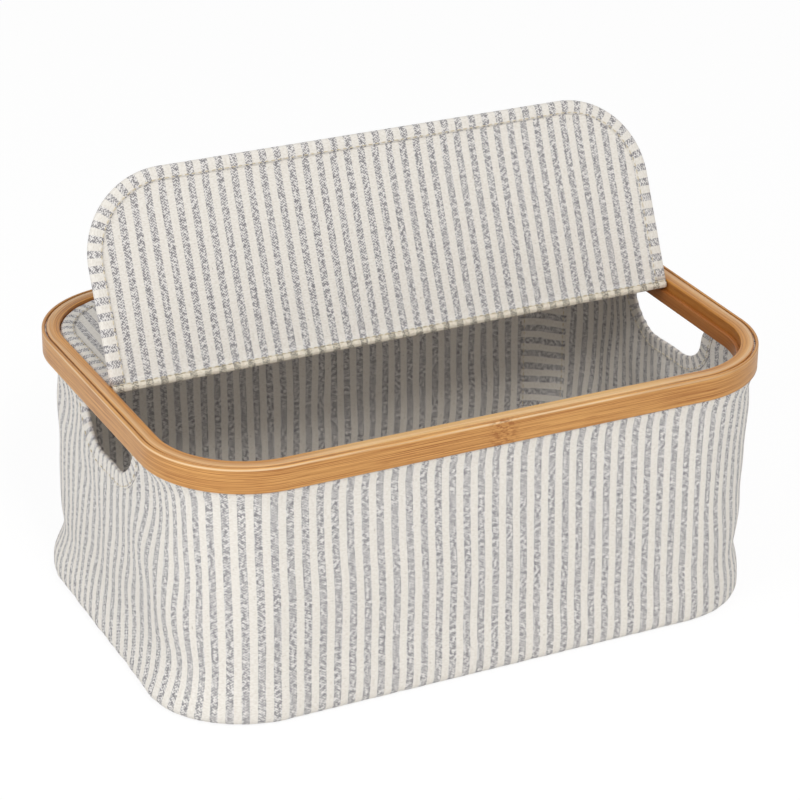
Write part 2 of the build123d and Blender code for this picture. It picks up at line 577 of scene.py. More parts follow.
@dataclass(frozen=True)
class Outline:
    """A rounded rectangle about the origin, walked from the middle of the front towards the right."""

    half_x: float
    half_y: float
    corner: float

    def drawn_in(self, inset: float) -> "Outline":
        """The same outline, drawn in all round."""
        return Outline(self.half_x - inset, self.half_y - inset, self.corner - inset)

    def marks(self) -> tuple[np.ndarray, np.ndarray, np.ndarray, np.ndarray]:
        """The walk's bends.

        Returns:
            The distance walked, the core's x and y, and the heading at each bend of the walk.
        """
        a, b = self.half_x - self.corner, self.half_y - self.corner
        turn = math.pi / 2 * self.corner
        legs = [0, a, turn, 2 * b, turn, 2 * a, turn, 2 * b, turn, a]
        core_x = [0, a, a, a, a, -a, -a, -a, -a, 0]
        core_y = [-b, -b, -b, b, b, b, b, -b, -b, -b]
        heading = np.array([0, 0, 1, 1, 2, 2, 3, 3, 4, 4]) * math.pi / 2
        return np.cumsum(legs), np.array(core_x), np.array(core_y), heading

    @property
    def length(self) -> float:
        """The whole way round."""
        return float(self.marks()[0][-1])

    def walk(self, s: Points, inset: "Points | float" = 0.0) -> tuple[Points, Points]:
        """Points along the outline.

        Args:
            s: distances walked on this outline itself, which may run past the start or the end.
            inset: how far inside the outline each point lies.

        Returns:
            The points and the outward normals, as rows of x and y.
        """
        walked, core_x, core_y, heading = self.marks()
        around = np.mod(s, walked[-1])
        angle = np.interp(around, walked, heading)
        normal = np.stack([np.sin(angle), -np.cos(angle)], -1)
        core = np.stack([np.interp(around, walked, core_x), np.interp(around, walked, core_y)], -1)
        reach = np.broadcast_to(self.corner - np.asarray(inset), around.shape)[..., None]
        return core + normal * reach, normal

    def ring(self, spacing: float) -> Points:
        """Points all the way round, about that far apart."""
        return self.walk(np.linspace(0, self.length, round(self.length / spacing) + 1)[:-1])[0]

    def stations(self, start: float, stop: float, straight: float, degrees: float) -> np.ndarray:
        """Distances for a sweep, wide apart on the straights and close in the corners.

        Args:
            start: the first distance, which may be below 0.
            stop: the last distance.
            straight: about how far apart they lie on a straight.
            degrees: about how far the outline turns from one to the next in a corner.

        Returns:
            The distances, in order.
        """
        walked = self.marks()[0]
        spots = [start, stop]
        for turn in range(math.floor(start / walked[-1]), math.ceil(stop / walked[-1])):
            for index, (low, high) in enumerate(zip(walked, walked[1:])):
                bent = index % 2 == 1
                step = math.radians(degrees) * self.corner if bent else straight
                count = max(1, round((high - low) / step))
                spots += list(turn * walked[-1] + np.linspace(low, high, count + 1))
        kept = [spot for spot in spots if start - ROUNDING <= spot <= stop + ROUNDING]
        return np.unique(np.round(kept, 7))


def linked(name: str, data: bpy.types.ID) -> bpy.types.Object:
    """Puts data in the scene.

    Args:
        name: the object's name.
        data: its mesh, lamp or camera.

    Returns:
        The new object.
    """
    obj = bpy.data.objects.new(name, data)
    bpy.context.scene.collection.objects.link(obj)
    return obj


def new_object(
    name: str, points: Points, faces: list | np.ndarray, uv: Points, material: bpy.types.Material
) -> bpy.types.Object:
    """Makes a smooth mesh object.

    Args:
        name: the piece's name.
        points: the vertices.
        faces: the vertex numbers of each face.
        uv: one row for each corner of each face, in order.
        material: the only material.

    Returns:
        The linked object.
    """
    mesh = bpy.data.meshes.new(name)
    mesh.from_pydata([tuple(p) for p in points], [], [tuple(int(i) for i in f) for f in faces])
    layer = mesh.uv_layers.new(name=UV_NAME)
    layer.data.foreach_set("uv", np.asarray(uv, np.float32).ravel())
    mesh.polygons.foreach_set("use_smooth", [True] * len(mesh.polygons))
    mesh.materials.append(material)
    mesh.validate()
    return linked(name, mesh)


def settle(obj: bpy.types.Object) -> bpy.types.Object:
    """Turns an object's modifiers into its plain mesh.

    Args:
        obj: the object, whose mesh is replaced.

    Returns:
        The same object.
    """
    graph = bpy.context.evaluated_depsgraph_get()
    made = bpy.data.meshes.new_from_object(obj.evaluated_get(graph))
    made.name = obj.name
    obj.modifiers.clear()
    obj.data = made
    return obj


def dress(obj: bpy.types.Object, slot: str, *nodes: str, body: str | None = "box") -> bpy.types.Object:
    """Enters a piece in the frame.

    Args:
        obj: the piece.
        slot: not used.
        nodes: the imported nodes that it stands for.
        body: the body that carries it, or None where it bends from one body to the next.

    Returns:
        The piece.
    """
    if body:
        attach(obj, body)
    if nodes:
        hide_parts(*nodes)
    return obj


def face_outward(obj: bpy.types.Object) -> bpy.types.Object:
    """Flips a closed mesh that encloses a negative volume.

    Args:
        obj: the mesh's object.

    Returns:
        The same object.
    """
    mesh = obj.data
    mesh.calc_loop_triangles()
    spots = np.array([v.co for v in mesh.vertices])
    corners = spots[np.array([t.vertices[:] for t in mesh.loop_triangles])]
    volume = np.einsum("ij,ij->i", corners[:, 0], np.cross(corners[:, 1], corners[:, 2])).sum()
    if volume < 0:
        mesh.flip_normals()
    return obj


def sweep(
    name: str,
    rings: Points,
    along: Points,
    around: Points,
    material: bpy.types.Material,
    closed: bool = False,
) -> bpy.types.Object:
    """Joins rings of points into a closed tube.

    Args:
        name: the piece's name.
        rings: points, by ring, then round the ring, then x, y, z.
        along: U of each ring, with one more at the end where the sweep is closed.
        around: V of each point of a ring, with one more at the end.
        material: the finish.
        closed: whether the last ring meets the first.

    Returns:
        The tube, with capped ends where it is open.
    """
    count, sides = rings.shape[:2]
    spans = count if closed else count - 1
    faces, uv = [], []
    for i in range(spans):
        j = (i + 1) % count
        for k in range(sides):
            m = (k + 1) % sides
            faces.append((i * sides + k, i * sides + m, j * sides + m, j * sides + k))
            uv += [(along[i], around[k]), (along[i], around[k + 1])]
            uv += [(along[i + 1], around[k + 1]), (along[i + 1], around[k])]
    if not closed:
        for ring, order in ((0, -1), (count - 1, 1)):
            faces.append([ring * sides + k for k in range(sides)][::order])
            uv += [(along[ring], around[k]) for k in range(sides)]
    return face_outward(new_object(name, rings.reshape(-1, 3), faces, np.array(uv), material))


def path_lengths(points: Points) -> np.ndarray:
    """Distances along a line of points, from 0."""
    return np.concatenate([[0], np.cumsum(np.linalg.norm(np.diff(points, axis=0), axis=1))])


def ring_lengths(section: Points) -> np.ndarray:
    """Distances round a closed section, one more than it has points."""
    return path_lengths(np.vstack([section, section[:1]]))


def rings_along_x(spots: Points, y: Points, z: Points) -> Points:
    """Rings for a straight sweep: each spot's x, with the y and z of a section's points."""
    return np.stack(np.broadcast_arrays(spots[:, None], y, z), -1)


def at_height(flat: Points, height: "float | Points") -> Points:
    """Points with one more number at the end: the same height for all, or one for each."""
    return np.column_stack([flat, np.broadcast_to(height, len(flat))])


def rings_of(lines: list[Points]) -> Points:
    """The rings of a sweep, from the lines that run along it."""
    return np.swapaxes(np.array(lines), 0, 1)


def ring_edges(count: int, first: int = 0) -> list[tuple[int, int]]:
    """The edges of a closed ring of points, by number."""
    return [(first + k, first + (k + 1) % count) for k in range(count)]


def triangulated(
    points: Points, edges: list[tuple[int, int]], kind: int
) -> tuple[Points, np.ndarray, list[list[int]]]:
    """Joins flat points into triangles.

    Args:
        points: rows of two coordinates.
        edges: the edges to keep.
        kind: what to fill: 0 for all there is, 1 for what lies inside the edges.

    Returns:
        The points, the triangles, and for each point the numbers of those given that it stands for.
    """
    found = delaunay_2d_cdt([Vector(p) for p in points], edges, [], kind, SAME_PLACE, True)
    return np.array([v[:] for v in found[0]]), np.array([f[:] for f in found[2]]), found[3]


def rounded_section(corners: list[tuple[float, float, float]], steps: int = 5) -> Points:
    """A closed outline with rounded corners.

    Args:
        corners: each corner's two coordinates and its radius.
        steps: points in each rounded corner, less one.

    Returns:
        The outline's points.
    """
    points = []
    spots = [np.array(corner[:2]) for corner in corners]
    for index, (spot, corner) in enumerate(zip(spots, corners)):
        radius = corner[2]
        if not radius:
            points.append(spot)
            continue
        back, ahead = spots[index - 1] - spot, spots[(index + 1) % len(spots)] - spot
        back, ahead = back / np.linalg.norm(back), ahead / np.linalg.norm(ahead)
        half = math.acos(float(np.clip(back @ ahead, -1, 1))) / 2
        cut = radius / math.tan(half)
        middle = spot + (back + ahead) / np.linalg.norm(back + ahead) * radius / math.sin(half)
        first, last = spot + back * cut - middle, spot + ahead * cut - middle
        sweep_angle = math.pi - 2 * half
        for step in range(steps + 1):
            share = step / steps
            mixed = first * math.sin((1 - share) * sweep_angle) + last * math.sin(share * sweep_angle)
            points.append(middle + mixed / math.sin(sweep_angle))
    return np.array(points)


def filled(section: Points, longest: float) -> Points:
    """Adds points on the long sides of a closed section.

    Args:
        section: its points.
        longest: the length that no side may pass.

    Returns:
        The old points and the new ones, in order.
    """
    out = []
    for here, there in zip(section, np.roll(section, -1, axis=0)):
        parts = max(1, math.ceil(np.linalg.norm(there - here) / longest - ROUNDING))
        out += [here + (there - here) * k / parts for k in range(parts)]
    return np.array(out)


# Sizes


@dataclass(frozen=True)
class BoxSizes:
    """The box's main sizes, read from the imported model, with the few that a node's own box doesn't give."""

    half_x: float
    half_y: float
    top: float
    rim_bottom: float
    canvas: float
    inner_hoop: float
    ledge_top: float
    outer_hoop: float = 1.8 * MM
    ledge: float = 2.5 * MM
    corner: float = 65 * MM
    wall_in: float = 4.0 * MM
    foot_radius: float = 6 * MM
    foot_top: float = 13 * MM
    foot_spread: float = -0.4 * MM
    waist: tuple[float, float] = (38 * MM, 2.6 * MM)
    belly: tuple[float, float] = (95 * MM, 1.2 * MM)
    chest: tuple[float, float] = (142 * MM, 0.2 * MM)

    @classmethod
    def from_frame(cls) -> "BoxSizes":
        """Reads the rim and the canvas from the frame.

        Returns:
            The sizes.
        """
        low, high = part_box("outer_hoop")
        inner_high, ledge_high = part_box("inner_hoop")[1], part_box("ledge_hoop")[1]
        return cls(
            half_x=high.x,
            half_y=high.y,
            top=high.z,
            rim_bottom=low.z,
            canvas=high.x - cls.outer_hoop - inner_high.x,
            inner_hoop=inner_high.x - ledge_high.x,
            ledge_top=ledge_high.z,
        )

    @property
    def rim(self) -> Outline:
        """The rim's outer outline."""
        return Outline(self.half_x, self.half_y, self.corner)

    @property
    def inner_in(self) -> float:
        """Inset of the inner hoop's outer face."""
        return self.outer_hoop + self.canvas

    @property
    def rim_in(self) -> float:
        """Inset of the rim's inner face."""
        return self.inner_in + self.inner_hoop


# Rim


@dataclass
class BambooRim:
    """Three bent strips: the outer and inner hoop, which pinch the canvas, and the ledge below."""

    sizes: BoxSizes
    finishes: dict[str, bpy.types.Material]
    outer_radius: float = 1.0 * MM
    joint_radius: float = 0.6 * MM
    inner_radius: float = 1.3 * MM
    ease: float = 0.8 * MM
    sharp: float = 0.3 * MM
    straight_step: float = 12 * MM
    corner_step: float = 2.5
    round_steps: int = 6
    longest: float = 4 * MM

    def hoop(self, name: str, corners: list[tuple[float, float, float]]) -> bpy.types.Object:
        """Sweeps one strip round the rim, from the middle of the back.

        Args:
            name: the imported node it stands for, with _strip added to make the piece's name.
            corners: its section's corners, as inset, height and radius.

        Returns:
            The strip.
        """
        outline = self.sizes.rim
        half = outline.length / 2
        along = outline.stations(-half, half, self.straight_step, self.corner_step)
        section = filled(rounded_section(corners, self.round_steps), self.longest)
        lines = [at_height(outline.walk(along[:-1], inset)[0], height) for inset, height in section]
        around, bamboo = ring_lengths(section), self.finishes[name]
        obj = sweep(f"{name}_strip", rings_of(lines), along, around, bamboo, closed=True)
        return dress(obj, "bamboo", name)

    def build(self) -> list[bpy.types.Object]:
        """Makes the three strips.

        Returns:
            The strips.
        """
        s = self.sizes
        low, high, ease, sharp = s.rim_bottom, s.top, self.ease, self.sharp
        seam, edge = s.outer_hoop, s.rim_in + s.ledge
        outer = [(0, low, ease), (0, high, self.outer_radius), (seam, high, sharp), (seam, low, sharp)]
        inner = [(s.inner_in, low, sharp), (s.inner_in, high, self.joint_radius)]
        inner += [(s.rim_in, high, self.inner_radius), (s.rim_in, low, ease)]
        ledge = [(s.rim_in, low, sharp), (s.rim_in, s.ledge_top, sharp)]
        ledge += [(edge, s.ledge_top, ease), (edge, low, ease)]
        hoops = {"outer_hoop": outer, "inner_hoop": inner, "ledge_hoop": ledge}
        return [self.hoop(name, corners) for name, corners in hoops.items()]


# Cloth


@dataclass
class ClothSheet:
    """A piece of cloth cut flat and mapped into space, with a fine even mesh of triangles."""

    flat: Points
    triangles: np.ndarray
    same: np.ndarray
    placed: Points | None = None

    @classmethod
    def cut(
        cls,
        low: tuple[float, float],
        high: tuple[float, float],
        spacing: float,
        holes: list[Points],
        clear: float = 0.55,
    ) -> "ClothSheet":
        """Cuts a rectangle of cloth with holes, whose first and last column are one and the same.

        Args:
            low: the rectangle's lower corner.
            high: its upper corner.
            spacing: distance between neighbouring points.
            holes: the outline of each hole.
            clear: how far from a hole the grid's points stay, as a share of the spacing.

        Returns:
            The flat sheet, not yet placed.
        """
        width, height = high[0] - low[0], high[1] - low[1]
        columns, rows = round(width / spacing), round(height / (spacing * ROW_HEIGHT))
        grid = []
        for row in range(rows + 1):
            v = low[1] + height * row / rows
            shift = 0.5 if row % 2 else 0.0
            inner = low[0] + width * (np.arange(1 - (row % 2), columns) + shift) / columns
            spots = np.concatenate([[low[0]], inner, [high[0]]])
            grid.append(at_height(spots, v))
        grid = np.vstack(grid)
        keep = np.ones(len(grid), bool)
        for hole in holes:
            keep &= ~inside_outline(grid, hole) & (distance_to_outline(grid, hole) > spacing * clear)
        points = [grid[keep]]
        edges: list[tuple[int, int]] = []
        for hole in holes:
            edges += ring_edges(len(hole), sum(len(part) for part in points))
            points.append(hole)
        flat, triangles, _ = triangulated(np.vstack(points), edges, 0)
        middles = flat[triangles].mean(1)
        for hole in holes:
            outside = ~inside_outline(middles, hole)
            triangles, middles = triangles[outside], middles[outside]
        corners = flat[triangles]
        first, second = corners[:, 1] - corners[:, 0], corners[:, 2] - corners[:, 0]
        area = first[:, 0] * second[:, 1] - first[:, 1] * second[:, 0]
        triangles = triangles[np.abs(area) > TINY]
        same = np.arange(len(flat))
        starts, ends = (np.flatnonzero(np.abs(flat[:, 0] - side) < SAME_PLACE) for side in (low[0], high[0]))
        same[ends[np.argsort(flat[ends, 1])]] = starts[np.argsort(flat[starts, 1])]
        return cls(flat, triangles, same)

    def make(self, name: str, uv: Points, material: bpy.types.Material) -> bpy.types.Object:
        """Makes the sheet's object, with no thickness.

        Args:
            name: the piece's name.
            uv: the map's values for each flat point.
            material: the finish.

        Returns:
            The object, its vertices in the order of the kept flat points.
        """
        used = np.unique(self.same[self.triangles])
        number = np.full(len(self.flat), -1)
        number[used] = np.arange(len(used))
        faces = number[self.same[self.triangles]]
        return new_object(name, self.placed[used], faces, uv[self.triangles].reshape(-1, 2), material)


class ClothFinder:
    """Finds where a flat place of a cloth sheet lies in space, and which way it faces there."""

    def __init__(self, sheet: ClothSheet) -> None:
        """Builds the search tree on the flat triangles.

        Args:
            sheet: the cloth, already placed.
        """
        self.sheet = sheet
        self.flat = [Vector((x, y, 0)) for x, y in sheet.flat]
        self.tree = BVHTree.FromPolygons(self.flat, sheet.triangles.tolist())
        self.placed = [Vector(p) for p in sheet.placed]
        corners = sheet.placed[sheet.triangles]
        crossed = np.cross(corners[:, 1] - corners[:, 0], corners[:, 2] - corners[:, 0])
        normals = np.zeros_like(sheet.placed)
        for k in range(3):
            np.add.at(normals, sheet.same[sheet.triangles[:, k]], crossed)
        normals = normals[sheet.same]
        self.normals = normals / (np.linalg.norm(normals, axis=1)[:, None] + TINY)

    def at(self, place: Points) -> tuple[Points, Points]:
        """Looks places up.

        Args:
            place: rows of flat coordinates; one off the cloth gives its nearest point.

        Returns:
            The points in space and the normals there.
        """
        points, normals = [], []
        for x, y in place:
            spot, _, index, _ = self.tree.find_nearest(Vector((x, y, 0)))
            ids = self.sheet.triangles[index]
            source = [self.flat[i] for i in ids]
            point = barycentric_transform(spot, *source, *[self.placed[i] for i in ids])
            normal = barycentric_transform(spot, *source, *[Vector(self.normals[i]) for i in ids])
            points.append(point[:])
            normals.append(normal.normalized()[:])
        return np.array(points), np.array(normals)


def inside_outline(points: Points, outline: Points) -> np.ndarray:
    """Finds which points lie inside a closed outline.

    Args:
        points: rows of two coordinates.
        outline: the outline's points, in order.

    Returns:
        True or False for each point.
    """
    x, y = points[:, 0], points[:, 1]
    inside = np.zeros(len(points), bool)
    for (ax, ay), (bx, by) in zip(outline, np.roll(outline, -1, axis=0)):
        if ay == by:
            continue
        crosses = (ay > y) != (by > y)
        inside ^= crosses & (x < (bx - ax) * (y - ay) / (by - ay) + ax)
    return inside


def distance_to_outline(points: Points, outline: Points) -> np.ndarray:
    """Measures how far points lie from a closed outline.

    Args:
        points: rows of two coordinates.
        outline: the outline's points, in order.

    Returns:
        Each point's distance.
    """
    nearest = np.full(len(points), np.inf)
    for a, b in zip(outline, np.roll(outline, -1, axis=0)):
        edge = b - a
        share = np.clip((points - a) @ edge / (edge @ edge), 0, 1)
        nearest = np.minimum(nearest, np.linalg.norm(points - a - share[:, None] * edge, axis=1))
    return nearest


def thicken(obj: bpy.types.Object, thickness: float) -> bpy.types.Object:
    """Gives a sheet its thickness, on the side away from its normals.

    Args:
        obj: the sheet.
        thickness: how thick it gets.

    Returns:
        The same object, with a plain mesh.
    """
    solid = obj.modifiers.new("thickness", "SOLIDIFY")
    solid.thickness = thickness
    solid.offset = -1
    solid.use_rim = True
    return face_outward(settle(obj))


def waves(place: Points, lengths: tuple[float, float], seed: int, count: int = 7) -> np.ndarray:
    """Soft seeded noise, about -1 to 1, made of a few sine waves.

    Args:
        place: rows of two coordinates.
        lengths: the shortest and the longest wave.
        seed: which noise.
        count: how many waves.

    Returns:
        The noise at each place.
    """
    rng = np.random.default_rng(seed)
    total = np.zeros(len(place))
    for _ in range(count):
        length = lengths[0] * (lengths[1] / lengths[0]) ** rng.random()
        angle, phase = rng.random() * math.tau, rng.random() * math.tau
        total += np.sin((place @ np.array([math.cos(angle), math.sin(angle)])) * math.tau / length + phase)
    return total / math.sqrt(count)


@dataclass(frozen=True)
class Stuffing:
    """How a closed pad fills out: a short cloth simulation, without gravity, on the pad's own mesh."""

    cap: float
    pressure: float = 4.0
    frames: int = 20
    quality: int = 6
    mass: float = 0.3

    def swell(self, obj: bpy.types.Object, held: list[int]) -> None:
        """Args:
            obj: the pad, whose mesh is changed.
            held: the numbers of the points that the seams hold still.
        """
        scene = bpy.context.scene
        twin = linked(f"{obj.name}_swelling", obj.data.copy())
        twin.vertex_groups.new(name="held").add(held, 1.0, "REPLACE")
        cloth = twin.modifiers.new("cloth", "CLOTH")
        cloth.settings.quality = self.quality
        cloth.settings.mass = self.mass
        cloth.settings.vertex_group_mass = "held"
        cloth.settings.use_pressure = True
        cloth.settings.uniform_pressure_force = self.pressure
        cloth.settings.effector_weights.gravity = 0
        cloth.point_cache.frame_start, cloth.point_cache.frame_end = 1, self.frames
        for frame in range(1, self.frames + 1):
            scene.frame_set(frame)
        before, after = np.zeros((2, len(obj.data.vertices) * 3))
        obj.data.vertices.foreach_get("co", before)
        swollen = twin.evaluated_get(bpy.context.evaluated_depsgraph_get())
        swollen.data.vertices.foreach_get("co", after)
        move = (after - before).reshape(-1, 3)
        far = np.linalg.norm(move, axis=1)[:, None]
        move *= self.cap * np.tanh(far / self.cap) / (far + TINY)
        obj.data.vertices.foreach_set("co", before + move.ravel())
        obj.data.update()
        LOG.info("%s: swelled by up to %.2f mm", obj.name, float(np.linalg.norm(move, axis=1).max() / MM))
        bpy.data.objects.remove(twin)
        scene.frame_set(1)


# Body


@dataclass
class Handle:
    """One U-shaped opening under the rim, laid out on the flat wall."""

    middle: float
    top: float
    width: float = 86 * MM
    drop: float = 31 * MM
    radii: tuple[float, float] = (26 * MM, 26 * MM)

    def edge(self, grow: float, step: float) -> tuple[Points, Points]:
        """The U from its upper left round to its upper right.

        Args:
            grow: how far outside the opening the line lies.
            step: distance between points.

        Returns:
            The points and the normals that point into the cloth.
        """
        near, far = self.radii
        left, right = self.width / 2 - near, self.width / 2 - far
        down, up = self.drop - near, self.drop - far
        quarter = math.pi / 2
        legs = np.cumsum([0, down, quarter * near, left + right, quarter * far, up])
        core_x = [-left, -left, -left, right, right, right]
        core_y = [0, -down, -down, -up, -up, 0]
        turn = [math.pi, math.pi, 1.5 * math.pi, 1.5 * math.pi, math.tau, math.tau]
        parts = [np.linspace(a, b, max(2, round((b - a) / step) + 1))[:-1] for a, b in zip(legs, legs[1:])]
        spots = np.concatenate(parts + [legs[-1:]])
        angle = np.interp(spots, legs, turn)
        normal = np.stack([np.cos(angle), np.sin(angle)], -1)
        core = np.stack([np.interp(spots, legs, core_x), np.interp(spots, legs, core_y)], -1)
        reach = np.interp(spots, legs, [near, near, near, far, far, far]) + grow
        points = core + normal * reach[:, None] + np.array([self.middle, self.top])
        return points, normal

    def outline(self, grow: float, step: float) -> Points:
        """The opening's closed outline, its top included.

        Args:
            grow: how far outside the opening it lies.
            step: distance between points.

        Returns:
            The outline's points.
        """
        points, _ = self.edge(grow, step)
        count = max(1, round((points[-1, 0] - points[0, 0]) / step))
        top = np.linspace(points[-1], points[0], count + 1)[1:-1]
        return np.vstack([points, top])


@dataclass
class StitchRows:
    """Rows of sewing thread along lines, laid out by Geometry Nodes: one mesh for each body."""

    thread: bpy.types.Material
    pitch: float = 4.3 * MM
    length: float = 3.0 * MM
    width: float = 0.72 * MM
    unevenness: float = 0.14
    seed: int = 7

    def inputs(self) -> dict[str, tuple[str, object]]:
        """Lists the node tree's inputs.

        Returns:
            Each input's kind and value, by its name.
        """
        return {
            "Pitch": ("Float", self.pitch),
            "Length": ("Float", self.length),
            "Width": ("Float", self.width),
            "Unevenness": ("Float", self.unevenness),
            "Seed": ("Int", self.seed),
            "Thread": ("Material", self.thread),
        }

    def tree(self) -> bpy.types.NodeTree:
        """Builds the node tree that turns edges into rows of stitches.

        Returns:
            The tree.
        """
        tree = bpy.data.node_groups.new("stitch_rows", "GeometryNodeTree")
        kinds = {"Lines": "Geometry"} | {name: kind for name, (kind, _) in self.inputs().items()}
        for name, kind in kinds.items():
            tree.interface.new_socket(name, in_out="INPUT", socket_type=f"NodeSocket{kind}")
        tree.interface.new_socket("Stitches", in_out="OUTPUT", socket_type="NodeSocketGeometry")
        bench = Bench(tree)
        source = bench.add("NodeGroupInput").socket.node
        given = {name: Wire(bench, source.outputs[name]) for name in kinds}
        line = bench.add("GeometryNodeMeshToCurve", {}, {"Mesh": given["Lines"]})
        spacing = {"Curve": line, "Length": given["Pitch"]}
        even = bench.add("GeometryNodeResampleCurve", {"mode": "LENGTH"}, spacing)
        along = bench.add("GeometryNodeInputTangent")
        turn = bench.add("FunctionNodeAlignRotationToVector", {"axis": "X"}, {"Vector": along})
        limits = {2: 1.0 - given["Unevenness"], 3: 1.0 + given["Unevenness"], "Seed": given["Seed"]}
        chance = bench.add("FunctionNodeRandomValue", {"data_type": "FLOAT"}, limits, 1)
        form = bench.vector(given["Length"] * chance, given["Width"], given["Width"])
        stitch = bench.add("GeometryNodeMeshUVSphere", {}, {"Segments": 6, "Rings": 6, "Radius": 0.5}, "Mesh")
        laid = {"Points": even, "Instance": stitch, "Rotation": turn, "Scale": form}
        rows = bench.add("GeometryNodeInstanceOnPoints", {}, laid)
        smooth = bench.add("GeometryNodeSetShadeSmooth", {}, {0: rows})
        real = bench.add("GeometryNodeRealizeInstances", {}, {0: smooth})
        sewn = bench.add("GeometryNodeSetMaterial", {}, {0: real, "Material": given["Thread"]})
        bench.close("NodeGroupOutput", sewn)
        return tree

    def build(self, name: str, body: str, lines: list[Points]) -> bpy.types.Object:
        """Sews along lines.

        Args:
            name: the piece's name.
            body: the body that it rides on.
            lines: the points of each line, in space.

        Returns:
            The stitches, as one plain mesh.
        """
        points, edges = [], []
        for line in lines:
            edges += [(len(points) + k, len(points) + k + 1) for k in range(len(line) - 1)]
            points += [tuple(p) for p in line]
        mesh = bpy.data.meshes.new(name)
        mesh.from_pydata(points, edges, [])
        obj = linked(name, mesh)
        sewing = obj.modifiers.new("sewing", "NODES")
        sewing.node_group = self.tree()
        values = self.inputs()
        for socket in sewing.node_group.interface.items_tree:
            if socket.name in values:
                sewing[socket.identifier] = values[socket.name][1]
        return dress(settle(obj), "binding_canvas", body=body)


@dataclass(frozen=True)
class Fold:
    """One soft fold of the wall, in millimetres: where it lies, its reach each way and what it does."""

    place: float
    height: float
    reach: float
    rise: float
    out: float = 0.0
    slide: float = 0.0

    def share(self, s: Points, z: Points) -> Points:
        """How strong the fold is.

        Args:
            s: distances round the box, in metres.
            z: heights, in metres.

        Returns:
            The strength at each, 1 in the middle of the fold.
        """
        across = (s / MM - self.place) / self.reach
        up = (z / MM - self.height) / self.rise
        return np.exp(-(across**2) - up**2)


# How the wall hangs: drawn in under the handles and at the rear left, pushed out and creased at the corners
HANG = (
    Fold(-306, 150, 70, 26, -4.0),
    Fold(306, 150, 70, 26, -3.6),
    Fold(-409, 143, 35, 16, -3.0),
    Fold(-409, 102, 36, 38, -3.0),
    Fold(-409, 34, 36, 11, -2.2),
    Fold(-409, 13, 35, 11, 2.4),
    Fold(203, 33, 25, 9, -2.0),
    Fold(203, 58, 25, 12, 1.5),
    Fold(-310, 4, 105, 11, 3.6),
    Fold(-212, 5, 42, 11, 3.6),
)

# Smaller folds, and where the cloth was pulled sideways in making, so that its stripes wander
WANDER = (
    Fold(-375, 132, 30, 20, 0.0, 14.0),
    Fold(-378, 62, 22, 22, 0.0, 5.0),
    Fold(-340, 28, 75, 42, 0.0, -22.0),
    Fold(-335, 50, 16, 12, 0.0, 3.0),
    Fold(-338, 98, 14, 12, -1.5),
    Fold(-320, 75, 9, 18, -0.8),
    Fold(-308, 85, 11, 32, 0.9),
    Fold(-275, 50, 25, 20, 0.0, -4.5),
    Fold(-268, 120, 30, 16, 0.0, 2.5),
    Fold(-250, 85, 18, 18, 0.0, -5.0),
    Fold(-255, 8, 65, 12, 0.0, 3.0),
    Fold(-228, 130, 24, 26, -2.0, 9.0),
    Fold(-208, 92, 18, 18, -0.8, 3.0),
    Fold(-214, 60, 20, 16, 1.4, 1.0),
    Fold(-210, 30, 22, 20, -1.2, 3.5),
    Fold(-80, 55, 90, 55, 0.0, 3.7),
    Fold(70, 25, 90, 75, 0.0, 3.5),
    Fold(185, 115, 40, 35, 0.0, -6.0),
    Fold(161, 80, 20, 22, 0.0, -4.0),
    Fold(163, 22, 12, 25, 0.0, 2.0),
)


